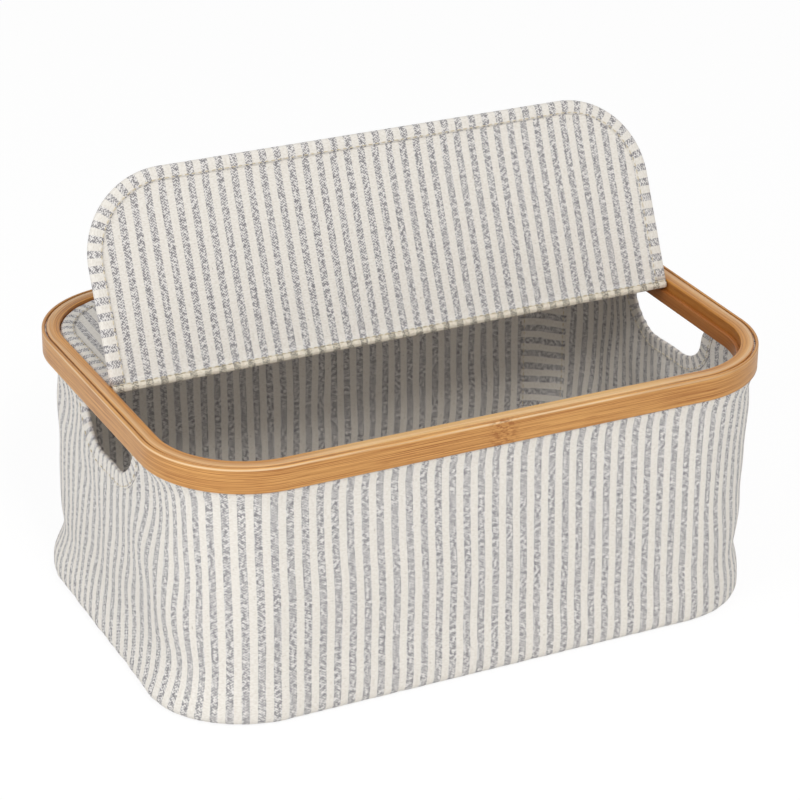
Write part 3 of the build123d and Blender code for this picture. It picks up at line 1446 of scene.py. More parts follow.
@dataclass
class CanvasBody:
    """The striped wall with its folds, the floor, the strips sewn on, and the loose base."""

    sizes: BoxSizes
    canvas: bpy.types.Material
    thread: bpy.types.Material
    spacing: float = 3.2 * MM
    hem_drop: float = 2.2 * MM
    stripe_shift: float = 5.2 * MM
    opening_step: float = 2.5 * MM
    pull: float = 7 * MM
    pulled_size: tuple[float, float] = (78 * MM, 29.5 * MM)
    pulled_radii: tuple[float, float] = (27 * MM, 26 * MM)
    pinch: float = 6 * MM
    taut: float = 25 * MM
    taut_foot: float = 8 * MM
    soft_waves: tuple[float, float] = (26 * MM, 90 * MM)
    fine_waves: tuple[float, float] = (9 * MM, 18 * MM)
    fine_height: float = 0.22 * MM
    gathers: float = 14 * MM
    seen_middle: float = -110 * MM
    seen_reach: float = 290 * MM
    seen_fade: float = 40 * MM
    seen_share: float = 0.25
    end_fade: float = 80 * MM
    end_gathers: float = 1.5
    binding: float = 9 * MM
    binding_thickness: float = 0.8 * MM
    binding_seam: float = 1.4 * MM
    binding_step: float = 1.2 * MM
    binding_gather: float = 1.5
    pucker: float = 0.34 * MM
    pucker_length: float = 6.2 * MM
    pucker_drift: float = 29 * MM
    pucker_stray: float = 0.25
    tape_turns: tuple[float, float] = (38, 68)
    tape_foot: float = 14 * MM
    tape_thickness: float = 0.7 * MM
    tape_seam: float = 2 * MM
    tape_seam_lift: float = 0.75 * MM
    floor_spacing: float = 6 * MM
    base_spacing: float = 5 * MM

    def __post_init__(self) -> None:
        """Lays out the wall's flat sheet: U round the box, V up the cloth."""
        s = self.sizes
        self.outline = s.rim.drawn_in(s.wall_in)
        self.profile_v, self.profile_draw, self.profile_z = self.profile()
        self.top_v = float(self.profile_v[-1])
        self.seam_s = self.corner_place(sum(self.tape_turns) / 2)
        self.rim_v = float(np.interp(s.rim_bottom, self.profile_z, self.profile_v))
        right, left = self.end_middles()
        pulled = Handle(left + self.pull, self.rim_v, *self.pulled_size, self.pulled_radii)
        self.handles = {"left": pulled, "right": Handle(right, self.rim_v)}

    def corner_place(self, turn: float) -> float:
        """The distance round the box to a turn, in degrees, of the rear right corner."""
        return float(self.outline.marks()[0][3] + math.radians(turn) * self.outline.corner)

    def end_middles(self) -> tuple[float, float]:
        """The distances round the box to the middles of the right and the left end wall."""
        walked = self.outline.marks()[0]
        return (walked[2] + walked[3]) / 2, (walked[6] + walked[7]) / 2 - walked[-1]

    def profile(self) -> tuple[Points, Points, Points]:
        """The wall's section.

        Returns:
            Distance up the cloth, how far in from the outline, and height, point by point.
        """
        s = self.sizes
        turn = np.linspace(0, math.pi / 2, 13)
        draw = list(s.foot_radius * (1 - np.sin(turn)) - s.foot_spread)
        height = list(s.foot_radius * (1 - np.cos(turn)))
        hem = s.outer_hoop - s.wall_in
        bends = [(s.foot_top, -s.foot_spread), s.waist, s.belly, s.chest, (s.rim_bottom, hem)]
        for (low, first), (high, second) in zip(bends, bends[1:]):
            for share in np.linspace(0, 1, 25)[1:]:
                draw.append(first + (second - first) * (1 - math.cos(math.pi * share)) / 2)
                height.append(low + (high - low) * share)
        draw.append(hem)
        height.append(s.top - self.hem_drop)
        steps = np.hypot(np.diff(draw), np.diff(height))
        return np.concatenate([[0], np.cumsum(steps)]), np.array(draw), np.array(height)

    def map(self, flat: Points) -> Points:
        """Places flat points of the wall in space, with the folds.

        Args:
            flat: rows of distance round the box and distance up the cloth.

        Returns:
            Points on the wall's outer face.
        """
        s, v = flat[:, 0], flat[:, 1]
        draw = np.interp(v, self.profile_v, self.profile_draw)
        z = np.interp(v, self.profile_v, self.profile_z)
        spots, _ = self.outline.walk(s, draw - self.folds(s, v, z))
        return np.column_stack([spots, z])

    def folds(self, s: Points, v: Points, z: Points) -> Points:
        """How far the cloth stands out from its smooth form.

        Args:
            s: distances round the box.
            v: distances up the cloth.
            z: heights.

        Returns:
            The distances outward.
        """
        below = self.rim_v - v
        hold = np.clip(below / self.taut, 0, 1) * np.clip((v - self.taut_foot) / self.taut, 0, 1)
        out = sum(fold.out * fold.share(s, z) for fold in HANG + WANDER) * MM
        unseen = np.clip((np.abs(s - self.seen_middle) - self.seen_reach) / self.seen_fade, 0, 1)
        strength = self.seen_share + (1 - self.seen_share) * unseen
        soft = waves(np.column_stack([s, v * 0.6]), self.soft_waves, seed=3) * strength * MM
        fine = waves(np.column_stack([s, v * 0.3]), self.fine_waves, seed=8) * self.fine_height
        edge = np.exp(-below / self.gathers) + np.exp(-v / self.gathers)
        gathered = fine * np.clip(edge, 0, 1) * (1.0 + self.end_gathers * self.near_ends(s))
        whole = out * np.clip(v / self.pinch, 0, 1) + soft * hold + gathered
        return whole * np.clip(below / self.pinch, 0, 1)

    def near_ends(self, s: Points) -> Points:
        """1 on the two end walls, 0 on the front and the back."""
        return sum(np.clip(1.6 - np.abs(s - end) / self.end_fade, 0, 1) for end in self.end_middles())

    def grain(self, flat: Points) -> Points:
        """The canvas's UV map on the wall: the stripes wander where the cloth was pulled in making.

        Args:
            flat: rows of distance round the box and distance up the cloth.

        Returns:
            The map's values.
        """
        z = np.interp(flat[:, 1], self.profile_v, self.profile_z)
        slide = sum(fold.slide * fold.share(flat[:, 0], z) for fold in HANG + WANDER) * MM
        return np.column_stack([flat[:, 0] - self.stripe_shift - slide, flat[:, 1]])

    def build(self) -> list[bpy.types.Object]:
        """Makes the wall, the floor, the sewn strips and the loose base.

        Returns:
            The pieces.
        """
        made = [self.wall(), self.floor()]
        made += [self.handle_binding(side) for side in self.handles]
        made += [self.seam_tape(), self.base_cover()]
        lines = [line for side in self.handles for line in self.binding_seams(side)] + self.tape_seams()
        made.append(StitchRows(self.thread).build("box_stitches", "box", lines))
        return made

    def binding_seams(self, side: str) -> list[Points]:
        """Where one handle's strip is sewn down.

        Args:
            side: left or right.

        Returns:
            A line on the wall's outer face and one on its inner face.
        """
        path, normal = self.handles[side].edge(0.0, 2.0 * MM)
        spots, facing = self.finder.at(path + normal * (self.binding - self.binding_seam))
        lift = self.binding_thickness + THREAD_LIFT
        return [spots + facing * lift, spots - facing * (self.sizes.canvas + lift)]

    def tape_seams(self) -> list[Points]:
        """Where the strip over the wall's seam is sewn down.

        Returns:
            A line for each side of the strip.
        """
        start, stop = (self.corner_place(turn) for turn in self.tape_turns)
        rows = np.arange(self.tape_foot + self.tape_seam, self.rim_v - self.tape_seam, 2 * MM)
        lines = []
        for spot in (start + self.tape_seam, stop - self.tape_seam):
            spot -= self.outline.length if spot > self.seam_s else 0.0
            points, facing = self.finder.at(np.column_stack([np.full(len(rows), spot), rows]))
            lines.append(points - facing * (self.sizes.canvas + self.tape_seam_lift))
        return lines

    def wall(self) -> bpy.types.Object:
        """Cuts the wall, hangs it and gives it its thickness.

        Returns:
            The wall.
        """
        grow, step = self.binding_thickness, self.opening_step
        holes = [handle.outline(grow, step) for handle in self.handles.values()]
        start = self.seam_s - self.outline.length
        sheet = ClothSheet.cut((start, 0.0), (self.seam_s, self.top_v), self.spacing, holes)
        sheet.placed = self.map(sheet.flat)
        self.finder = ClothFinder(sheet)
        obj = sheet.make("wall_cloth", self.grain(sheet.flat), self.canvas)
        obj = dress(thicken(obj, self.sizes.canvas), "striped_canvas", "canvas_wall")
        flat = (self.outline.length, self.top_v)
        return obj

    def floor(self) -> bpy.types.Object:
        """Makes the floor, sewn to the wall's lower edge.

        Returns:
            The floor.
        """
        s = self.sizes
        outline = s.rim.drawn_in(s.wall_in - s.foot_spread + s.foot_radius)
        pad = Pad(outline.ring(self.floor_spacing), self.floor_spacing, s.canvas / 2)
        obj = dress(pad.build("floor_cloth", self.canvas, self.lay_floor), "striped_canvas", "canvas_floor")
        2 * outline.half_x
        2 * outline.half_y
        return obj

    def lay_floor(self, points: Points) -> Points:
        """Lays the floor cloth on what the box stands on."""
        return points + [0, 0, self.sizes.canvas / 2]

    def base_cover(self) -> bpy.types.Object:
        """Makes the canvas cover of the loose base board.

        Returns:
            The cover.
        """
        low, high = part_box("base_cover")
        outline = Outline(high.x, high.y, self.sizes.corner - (self.sizes.half_x - high.x))
        half = (high.z - low.z) / 2
        border = outline.ring(self.base_spacing)
        cover = Pad(border, self.base_spacing, half, puff=0.6 * MM, bulge=0.8 * MM, flat_below=True)
        obj = cover.build("base_pad", self.canvas, lambda p: p + [0, 0, low.z + half], self.stripe_shift)
        Stuffing(cap=1.2 * MM).swell(obj, cover.near_border(3 * MM) + cover.lower_face())
        dress(obj, "striped_canvas", "base_cover")
        return obj

    def handle_binding(self, side: str) -> bpy.types.Object:
        """The folded strip round one opening, on both faces of the wall.

        Args:
            side: left or right.

        Returns:
            The strip.
        """
        wide, cloth, wall = self.binding, self.binding_thickness, self.sizes.canvas
        back, nose, sharp, slack = -wall - cloth, (cloth + wall / 2) * 0.9, 0.3 * MM, 0.05 * MM
        section = [(wide, 0.0, 0), (wide, cloth, sharp), (-cloth, cloth, nose), (-cloth, back, nose)]
        section += [(wide, back, sharp), (wide, -wall, 0), (slack, -wall, 0), (slack, 0.0, 0)]
        section = filled(rounded_section(section), 2.2 * MM)
        path, normal = self.handles[side].edge(0.0, self.binding_step)
        lengths = path_lengths(path)
        start = cloth + 0.2 * MM
        near, _ = self.finder.at(path + normal * (cloth + 1.2 * MM))
        inner, _ = self.finder.at(path + normal * start)
        slope = (near - inner) / (1.0 * MM)
        drift = 0.9 * np.sin(lengths * math.tau / self.pucker_drift)
        swing = np.sin(lengths * math.tau / self.pucker_length + drift)
        rng = np.random.default_rng(21)
        lines = []
        for reach, lift in section:
            spots, facing = self.finder.at(path + normal * max(reach, start))
            spots = spots + slope * min(0.0, reach - cloth - 0.2 * MM)
            pucker = self.pucker * (swing + self.pucker_stray * rng.standard_normal(len(lengths)))
            loose = lift > -wall / 2 and 0 < reach < wide
            lines.append(spots + facing * (lift + pucker * loose)[:, None])
        along, around = lengths * self.binding_gather, ring_lengths(section)
        obj = sweep(f"{side}_handle_strip", rings_of(lines), along, around, self.canvas)
        return dress(obj, "binding_canvas", f"{side}_handle_binding")

    def seam_tape(self) -> bpy.types.Object:
        """Makes the strip over the wall's seam, its stripes lying across.

        Returns:
            The strip.
        """
        start, stop = (self.corner_place(turn) for turn in self.tape_turns)
        spots = np.linspace(start, stop, 14)
        round_box = np.where(spots > self.seam_s, spots - self.outline.length, spots)
        rows = np.linspace(self.tape_foot, self.rim_v, 60)
        wall = self.sizes.canvas
        rings = []
        for row in rows:
            points, facing = self.finder.at(at_height(round_box, row))
            lining = points - facing * (wall + self.tape_thickness)
            rings.append(np.vstack([points - facing * wall, lining[::-1]]))
        width = np.linspace(0, stop - start, len(spots))
        around = np.concatenate([width, width[::-1], [0]])
        obj = sweep("seam_strip", np.array(rings), rows, around, self.canvas)
        return dress(obj, "binding_canvas", "seam_tape")


@dataclass
class Pad:
    """A flat closed pad over a border: two faces of cloth joined by a rounded edge."""

    border: Points
    spacing: float
    half: float
    puff: float = 0.0
    bulge: float = 0.0
    flat_below: bool = False
    side_rows: int = 3
    shoulder: float = 9 * MM
    clear: float = 0.6

    def lay_out(self) -> tuple[Points, np.ndarray, np.ndarray, Points]:
        """Fills the border with even triangles.

        Returns:
            The flat points, the triangles, the numbers of the border's points and each point's depth.
        """
        low, high = self.border.min(0), self.border.max(0)
        rows = []
        height = self.spacing * ROW_HEIGHT
        for row in range(1, round((high[1] - low[1]) / height)):
            x = np.arange(low[0] + (row % 2) * self.spacing / 2, high[0], self.spacing)
            rows.append(at_height(x, low[1] + row * height))
        grid = np.vstack(rows)
        near = distance_to_outline(grid, self.border)
        grid = grid[inside_outline(grid, self.border) & (near > self.spacing * self.clear)]
        count = len(self.border)
        spots = np.vstack([self.border, grid])
        flat, triangles, origins = triangulated(spots, ring_edges(count), 1)
        ring = np.zeros(count, int)
        for number, sources in enumerate(origins):
            for source in sources:
                if source < count:
                    ring[source] = number
        return flat, triangles, ring, distance_to_outline(flat, self.border)

    def rise(self, depth: Points) -> Points:
        """How far a face stands above the middle, by its depth inside the border."""
        return self.half + self.puff * (1 - np.exp(-depth / self.shoulder))

    def near_border(self, width: float) -> list[int]:
        """Finds the points of a built pad that lie near its border, its sides included.

        Args:
            width: how far inside the border they may lie.

        Returns:
            The numbers of the points.
        """
        size = len(self.depth)
        edge = np.flatnonzero(self.depth < width)
        sides = np.arange(2 * size, 2 * size + self.side_rows * len(self.border))
        return [int(k) for k in np.concatenate([edge, edge + size, sides])]

    def lower_face(self) -> list[int]:
        """The numbers of the points of a built pad's lower face."""
        size = len(self.depth)
        return list(range(size, 2 * size))

    def build(
        self,
        name: str,
        material: bpy.types.Material,
        place: Callable[[Points], Points],
        shift: float = 0.0,
        lean: float = 0.0,
    ) -> bpy.types.Object:
        """Makes the pad.

        Args:
            name: the piece's name.
            material: the finish.
            place: puts points, whose third number is the height above the pad's middle, in space.
            shift: where the middle of a grey stripe lies.
            lean: how far the stripes lean sideways, as a share of the distance along them.

        Returns:
            The pad.
        """
        flat, triangles, ring, depth = self.lay_out()
        self.depth = depth
        size, count = len(flat), len(ring)
        top = self.rise(depth)
        bottom = self.half if self.flat_below else top
        points = [at_height(flat, top), at_height(flat, -bottom)]
        ahead, behind = np.roll(self.border, -1, axis=0), np.roll(self.border, 1, axis=0)
        along = ahead - behind
        outward = np.column_stack([along[:, 1], -along[:, 0]])
        outward /= np.linalg.norm(outward, axis=1)[:, None]
        signed = self.border[:, 0] @ ahead[:, 1] - ahead[:, 0] @ self.border[:, 1]
        outward *= math.copysign(1, signed)
        for row in range(1, self.side_rows + 1):
            turn = math.pi * row / (self.side_rows + 1)
            edge = self.border + outward * self.bulge * math.sin(turn)
            points.append(at_height(edge, self.half * math.cos(turn)))
        sides = [2 * size + row * count + np.arange(count) for row in range(self.side_rows)]
        bands = [ring, *sides, ring + size]
        faces = [tuple(t) for t in triangles] + [tuple(t[::-1] + size) for t in triangles]
        uv = [flat[t] for t in triangles] + [flat[t[::-1]] for t in triangles]
        step = 2 * self.half / len(bands)
        for level, (upper, lower) in enumerate(zip(bands, bands[1:])):
            high, low = [0, level * step], [0, (level + 1) * step]
            for k in range(count):
                m = (k + 1) % count
                faces.append((upper[k], lower[k], lower[m], upper[m]))
                here, there = self.border[k], self.border[m]
                uv.append([here - high, here - low, there - low, there - high])
        uv = np.vstack(uv)
        uv = uv - np.column_stack([shift + lean * uv[:, 1], np.zeros(len(uv))])
        return face_outward(new_object(name, place(np.vstack(points)), faces, uv, material))


# Lid


class Half(Enum):
    """The two halves of the lid, with the side of the fold that each lies on when the lid is shut."""

    FRONT = -1
    REAR = 1


@dataclass(frozen=True)
class FoldLine:
    """The line that the lid's halves turn about, and the angle that the front one stands open by."""

    y: float
    z: float
    angle: float

    @classmethod
    def from_frame(cls, frame: dict) -> "FoldLine":
        """Reads the fold's joint from the frame."""
        joint = next(joint for joint in frame["joints"] if joint["name"] == "lid_fold")
        return cls(*joint["pos_m"][1:], math.radians(-joint["range_deg"][0]))


@dataclass
class LidHalf:
    """One half of the lid: a board in a padded cover, bound round its three free sides."""

    sizes: BoxSizes
    half: Half
    canvas: bpy.types.Material
    thread: bpy.types.Material
    fold: FoldLine
    thickness: float = 4.0 * MM
    spacing: float = 4.5 * MM
    fold_gap: float = 0.15 * MM
    held_in: float = 1.5 * MM
    binding: float = 9.0 * MM
    binding_thickness: float = 0.7 * MM
    binding_seam: float = 1.0 * MM
    proud: float = 0.5 * MM
    corner_step: float = 3.0
    seam_step: float = 4 * MM
    seam_end: float = 2 * MM
    row_end: float = 3 * MM
    row_place: float = 3.5 * MM
    row_height: float = -2.25 * MM
    ripple: float = 0.125 * MM
    ripple_length: float = 17 * MM
    stripe_shift: float = -6.5 * MM
    stripe_lean: float = 0.017
    edging_shift: float = -3.0 * MM
    edging_stretch: float = 0.99
    edging_slip: float = 0.03
    edging_slip_from: float = 170 * MM

    def __post_init__(self) -> None:
        """Takes the half's outline from the frame."""
        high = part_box("rear_lid_binding")[1]
        self.outline = self.sizes.rim.drawn_in(self.sizes.half_x - high.x - self.proud)
        self.body = "front_lid" if self.half is Half.FRONT else "rear_lid"

    def gap(self, thickness: float) -> float:
        """How far from the fold an edge stands, so that two of them meet when the lid is open."""
        half_fold = (math.pi - self.fold.angle) / 2
        return (self.fold_gap + thickness / 2 * math.cos(half_fold)) / math.sin(half_fold)

    def place(self, points: Points) -> Points:
        """Puts points of the half in space.

        Args:
            points: rows of x, distance from the fold and height above the half's middle.

        Returns:
            Their places.
        """
        x, w, h = points[:, 0], points[:, 1], points[:, 2]
        y = self.half.value * w
        if self.half is Half.REAR:
            return np.column_stack([x, self.fold.y + y, self.fold.z + h])
        c, s = math.cos(self.fold.angle), math.sin(self.fold.angle)
        return np.column_stack([x, self.fold.y + y * c + h * s, self.fold.z - y * s + h * c])

    def edge(self, s: Points, inset: "float | Points") -> tuple[Points, Points]:
        """Points along the three free sides.

        Args:
            s: distances along the outline, 0 in the middle of the free edge.
            inset: how far inside the edge each lies.

        Returns:
            The points and the outward normals, as x and distance from the fold.
        """
        spots, normal = self.outline.walk(s, inset)
        away = -spots[:, 1] - self.half.value * self.fold.y
        return np.column_stack([spots[:, 0], away]), normal * [1, -1]

    def reach(self, gap: float) -> float:
        """How far the outline runs from the middle of the free edge to the fold's end.

        Args:
            gap: how far from the fold it stops.

        Returns:
            The distance along the outline.
        """
        walked = self.outline.marks()[0]
        straight = self.outline.half_y - self.outline.corner
        return float(walked[2] + straight - self.half.value * self.fold.y - gap)

    def cover(self) -> bpy.types.Object:
        """Makes the padded cover.

        Returns:
            The cover.
        """
        end = self.reach(self.gap(self.thickness))
        stations = self.outline.stations(-end, end, self.spacing, 4.0)
        border, _ = self.edge(stations, self.binding_thickness)
        width = abs(border[-1, 0] - border[0, 0])
        base = np.linspace(border[-1], border[0], round(width / self.spacing) + 1)[1:-1]
        half = self.thickness / 2 - 0.1 * MM
        pad = Pad(np.vstack([border, base]), self.spacing, half, puff=0.5 * MM, bulge=0.3 * MM)
        obj = pad.build(f"{self.body}_pad", self.canvas, self.place, self.stripe_shift, self.stripe_lean)
        Stuffing(cap=0.9 * MM).swell(obj, pad.near_border(self.binding - self.held_in))
        dress(obj, "striped_canvas", f"{self.body}_cover", body=self.body)
        return obj

    def binding_section(self) -> Points:
        """Draws the folded strip's closed section.

        Returns:
            The section's points, as distance in from the edge and height.
        """
        half, cloth, wide = self.thickness / 2, self.binding_thickness, self.binding
        top = half + cloth
        outer = [(wide, half + 0.1 * MM), (wide - 0.1 * MM, top - 0.05 * MM)]
        outer += [(wide - 1.6 * MM, top - 0.1 * MM), (wide - 4.5 * MM, top + 0.25 * MM)]
        outer += [(3.2 * MM, top + 0.1 * MM)]
        turn = np.linspace(math.pi / 2, -math.pi / 2, 13)
        nose = [(2.2 * MM * (1 - math.cos(t)), top * math.sin(t)) for t in turn]
        back = [(a, -h) for a, h in reversed(outer)]
        inner = [(1.6 * MM, -half + 0.1 * MM), (cloth, 0), (1.6 * MM, half - 0.1 * MM)]
        return np.array(outer + nose + back + inner)

    def bind(self) -> bpy.types.Object:
        """Makes the binding, with its stripes across the edge.

        Returns:
            The binding.
        """
        section = self.binding_section()
        end = self.reach(self.gap(self.thickness + 2 * self.binding_thickness))
        stations = self.outline.stations(-end, end, 5 * MM, self.corner_step)
        rng = np.random.default_rng(11 + self.half.value)
        turns = stations * math.tau / self.ripple_length
        ripple = self.ripple * np.sin(turns + rng.random() * 6)
        lines = []
        for inset, height in section:
            lift = ripple * (abs(height) > self.thickness / 2) * math.copysign(1, height)
            lines.append(self.place(at_height(self.edge(stations, inset)[0], height + lift)))
        slip = self.edging_slip * np.clip(stations - self.edging_slip_from, 0, None)
        eased = stations * self.edging_stretch - slip - self.edging_shift
        obj = sweep(f"{self.body}_edging", rings_of(lines), eased, ring_lengths(section), self.canvas)
        return dress(obj, "binding_canvas", f"{self.body}_binding", body=self.body)

    def seams(self) -> list[Points]:
        """Where the binding is sewn down, and on the front half where the rolled edge is.

        Returns:
            The lines of the seams.
        """
        lift = self.thickness / 2 + self.binding_thickness + THREAD_LIFT
        end = self.reach(self.gap(self.thickness)) - self.seam_end
        stations = self.outline.stations(-end, end, self.seam_step, self.corner_step)
        flat, _ = self.edge(stations, self.binding - self.binding_seam)
        lines = [self.place(at_height(flat, height)) for height in (lift, -lift)]
        if self.half is Half.FRONT:
            width = abs(flat[-1, 0] - flat[0, 0]) / 2 + self.binding - self.row_end
            spots = np.arange(-width, width, self.seam_step)
            lines.append(self.place(at_height(at_height(spots, self.row_place), self.row_height)))
        return lines

    def build(self) -> list[bpy.types.Object]:
        """Makes the cover, its binding and the stitches."""
        sewing = StitchRows(self.thread)
        return [self.cover(), self.bind(), sewing.build(f"{self.body}_stitches", self.body, self.seams())]


@dataclass
class FoldStrip:
    """The rolled edge of doubled canvas that joins the two halves along the fold."""

    canvas: bpy.types.Material
    fold: FoldLine
    stripe_shift: float = -6.5 * MM
    tuck: float = 4.9 * MM
    heart: float = 3.4 * MM
    bend: float = 3.5 * MM
    end_gap: float = 0.4 * MM
    swell: float = 0.03
    swell_length: float = 23 * MM
    unevenness: float = 0.015
    stations: int = 190

    def section(self) -> Points:
        """Draws the strip's closed section at rest.

        Returns:
            The section's points, as y and z about the fold.
        """
        front = np.array([-math.cos(self.fold.angle), math.sin(self.fold.angle)])
        viewer = np.array([-front[1], front[0]])
        middle = (math.pi - self.fold.angle) / 2
        roll = [(3.3, 1.7, 0.6), (2.7, 2.5, 0.6), (0.9, 2.9, 1.5), (-0.9, 1.9, 1.2), (-1.1, -0.3, 1.0)]
        corners = [(*(front * self.tuck + viewer * 1.6 * MM), 0.0)]
        corners += [(*(front * along * MM + viewer * out * MM), radius * MM) for along, out, radius in roll]
        corners += [(2.2 * MM, -1.7 * MM, 0.8 * MM), (self.tuck, -1.5 * MM, 0.0), (self.tuck, 1.5 * MM, 0.0)]
        corners.append((self.heart * math.cos(middle), self.heart * math.sin(middle), 0.5 * MM))
        corners.append((*(front * self.tuck - viewer * 1.5 * MM), 0.0))
        return filled(rounded_section(corners), 1.0 * MM)

    def build(self) -> list[bpy.types.Object]:
        """Makes the strip along the fold.

        Returns:
            The strip alone.
        """
        section, fold = self.section(), self.fold
        half_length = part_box("rear_lid_binding")[1].x - self.end_gap
        spots = np.linspace(-half_length, half_length, self.stations)
        rng = np.random.default_rng(5)
        swell = self.swell * np.sin(spots * math.tau / self.swell_length)
        size = 1 + swell + self.unevenness * rng.standard_normal(len(spots))
        y, z = (section[:, side] * size[:, None] for side in (0, 1))
        rings = rings_along_x(spots, fold.y + y, fold.z + z)
        obj = sweep("fold_roll", rings, spots - self.stripe_shift, ring_lengths(section), self.canvas)
        dress(obj, "binding_canvas", "fold_bead", "fold_leaf", body=None)
        front = math.pi - fold.angle
        start = (0, fold.y + self.bend, fold.z)
        end = (0, fold.y + self.bend * math.cos(front), fold.z + self.bend * math.sin(front))
        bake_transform(obj)
        return [obj]


@dataclass
class HingeFlap:
    """The strip of canvas that holds the lid's rear edge to the rim."""

    canvas: bpy.types.Material
    thickness: float = 0.6 * MM
    tuck: float = 6 * MM
    hump: float = 0.9 * MM
    stations: int = 60

    def build(self) -> list[bpy.types.Object]:
        """Makes the flap, one end on the rim and one on the lid's rear edge.

        Returns:
            The flap alone.
        """
        low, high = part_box("lid_hinge_tape")
        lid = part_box("rear_lid_binding")[1]
        wall_y, edge_y, top = high.y, lid.y, lid.z
        middle = [(wall_y, low.z), (wall_y, top), ((wall_y + edge_y) / 2, top + self.hump)]
        middle += [(edge_y - 0.6 * MM, top + 0.5 * MM), (edge_y - self.tuck, top + 0.35 * MM)]
        line = np.array(middle)
        along = np.gradient(line, axis=0)
        side = np.column_stack([-along[:, 1], along[:, 0]]) / np.linalg.norm(along, axis=1)[:, None]
        section = np.vstack([line, (line + side * self.thickness)[::-1]])
        spots = np.linspace(low.x, high.x, self.stations)
        rings = rings_along_x(spots, section[:, 0], section[:, 1])
        obj = sweep("hinge_flap", rings, spots, ring_lengths(section), self.canvas)
        dress(obj, "binding_canvas", "lid_hinge_tape", body=None)
        edge_y - self.tuck / 2
        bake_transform(obj)
        return [obj]


# Studio


@dataclass(frozen=True)
class Lamp:
    """One square soft lamp: where it hangs, its side, its power, its colour and what it points at."""

    name: str
    place: tuple[float, float, float]
    size: float
    watts: float
    tint: Colour
    aim: tuple[float, float, float] = (0, 0, 0.1)

    def hang(self) -> None:
        """Hangs the lamp."""
        data = bpy.data.lights.new(self.name, "AREA")
        data.size, data.energy, data.color = self.size, self.watts, self.tint
        obj = linked(self.name, data)
        away = Vector(self.place) - Vector(self.aim)
        obj.rotation_euler = away.to_track_quat("Z", "Y").to_euler()
        obj.location = self.place


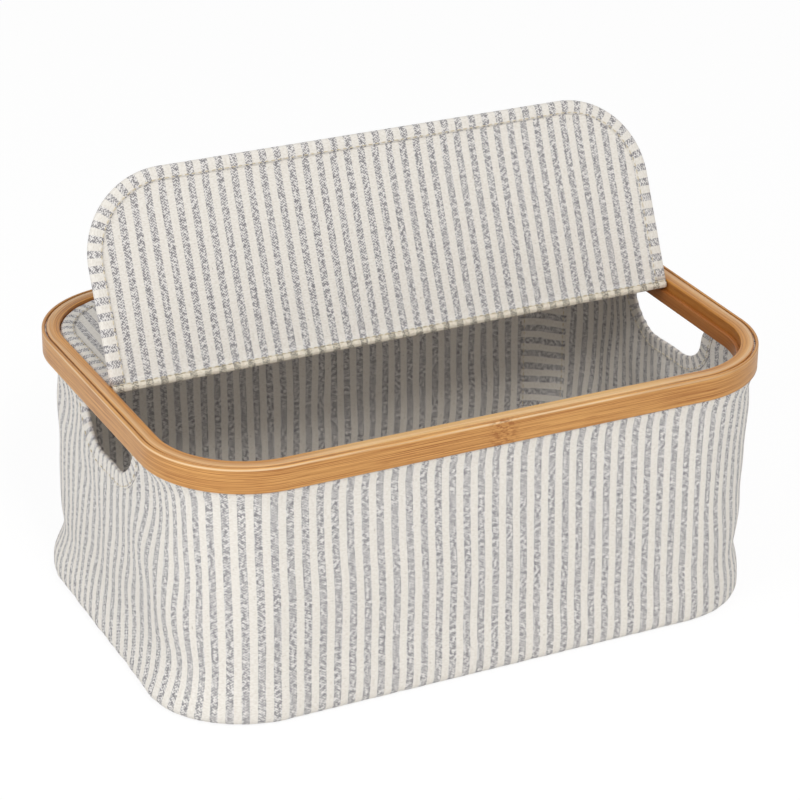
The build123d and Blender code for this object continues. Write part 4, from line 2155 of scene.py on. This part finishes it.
@dataclass(frozen=True)
class Studio:
    """Pale floor, soft lights and the camera, which stands where the photograph was taken from."""

    lens: float = 135.241
    sensor: float = 36.0
    eye: tuple[float, float, float] = (-0.745948, -1.506634, 0.919247)
    yaw: float = math.radians(26.3766)
    pitch: float = math.radians(25.3615)
    roll: float = math.radians(0.5448)
    key: Lamp = Lamp("key", (-0.3, -1.75, 1.85), 0.45, 17.5, (1.0, 0.985, 0.96))
    fill: Lamp = Lamp("fill", (-1.7, -0.5, 1.1), 1.1, 9, (0.99, 0.995, 1.0))
    room_light: float = 0.68
    floor_size: float = 10.0
    floor_colour: Colour = (0.9, 0.9, 0.9)
    floor_glow: float = 1.05
    glow_share: float = 0.85

    def camera(self) -> None:
        """Places the camera."""
        level = math.cos(self.pitch)
        forward = Vector((math.sin(self.yaw) * level, math.cos(self.yaw) * level, -math.sin(self.pitch)))
        right = Vector((math.cos(self.yaw), -math.sin(self.yaw), 0))
        up = right.cross(forward)
        turned_right = right * math.cos(self.roll) + up * math.sin(self.roll)
        turned_up = up * math.cos(self.roll) - right * math.sin(self.roll)
        data = bpy.data.cameras.new("camera")
        data.lens, data.sensor_width = self.lens, self.sensor
        obj = linked("camera", data)
        turn = Matrix((turned_right, turned_up, -forward)).transposed()
        obj.matrix_world = Matrix.Translation(self.eye) @ turn.to_4x4()
        bpy.context.scene.camera = obj

    def floor(self) -> None:
        """Lays the floor, which shows nearly white and keeps the box's shadow."""
        bench = MaterialBench("studio_floor")
        matt = {"Base Color": self.floor_colour, "Roughness": 0.9, "Specular IOR Level": 0.1}
        paper = bench.add("ShaderNodeBsdfPrincipled", {}, matt)
        glow = bench.add("ShaderNodeEmission", {}, {"Color": (1.0, 1.0, 1.0), "Strength": self.floor_glow})
        seen = bench.add("ShaderNodeLightPath", {}, {}, "Is Camera Ray") * self.glow_share
        material = bench.finish(bench.add("ShaderNodeMixShader", {}, {0: seen, 1: paper, 2: glow}))
        half = self.floor_size / 2
        mesh = bpy.data.meshes.new("floor")
        square = [(-half, -half, 0), (half, -half, 0), (half, half, 0), (-half, half, 0)]
        mesh.from_pydata(square, [], [(0, 1, 2, 3)])
        mesh.materials.append(material)
        linked("floor", mesh)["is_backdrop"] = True

    def world(self) -> None:
        """Lights the room evenly, and shows it white."""
        world = bpy.data.worlds.new("room")
        world.use_nodes = True
        bpy.context.scene.world = world
        bench = Bench(world.node_tree)
        kinds = ("Camera", "Glossy", "Transmission")
        camera, glossy, clear = (bench.add("ShaderNodeLightPath", {}, {}, f"Is {kind} Ray") for kind in kinds)
        seen = (camera + glossy + clear).at_most(1.0)
        levels = {"Value": seen, "To Min": self.room_light, "To Max": 1.0}
        strength = bench.add("ShaderNodeMapRange", {}, levels, "Result")
        bench.close("ShaderNodeOutputWorld", bench.add("ShaderNodeBackground", {}, {"Strength": strength}))

    def build(self) -> None:
        """Sets up the whole studio."""
        self.camera()
        self.floor()
        self.world()
        self.key.hang()
        self.fill.hang()
        bpy.context.scene.view_settings.view_transform = "Standard"


# The whole box


def corners(bounds: tuple[Vector, Vector]) -> list[list[float]]:
    """A box's two corners as plain lists."""
    return [list(corner) for corner in bounds]


def main() -> None:
    """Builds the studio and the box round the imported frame."""
    logging.basicConfig(level=logging.INFO, format="%(name)s: %(message)s")
    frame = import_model()
    packed = corners(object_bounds())
    Studio().build()
    sizes, fold = BoxSizes.from_frame(), FoldLine.from_frame(frame)
    canvas, thread, board = CanvasFinish().make(), ThreadFinish().make(), BoardFinish().make()
    pieces = BambooRim(sizes, {name: finish.make() for name, finish in HOOP_BAMBOO.items()}).build()
    pieces += CanvasBody(sizes, canvas, thread).build()
    for half in Half:
        pieces += LidHalf(sizes, half, canvas, thread, fold).build()
    pieces += FoldStrip(ROLLED_CANVAS.make(), fold).build()
    pieces += HingeFlap(canvas).build()
    for name in ("base_board", "rear_lid_board", "front_lid_board"):
        mesh = frame["nodes"][name].data
        mesh.materials.clear()
        mesh.materials.append(board)
    for piece in pieces:
        LOG.info("%s: %d faces", piece.name, len(piece.data.polygons))
    {"packed": packed, "dressed": corners(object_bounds())}


if __name__ == "__main__":
    main()
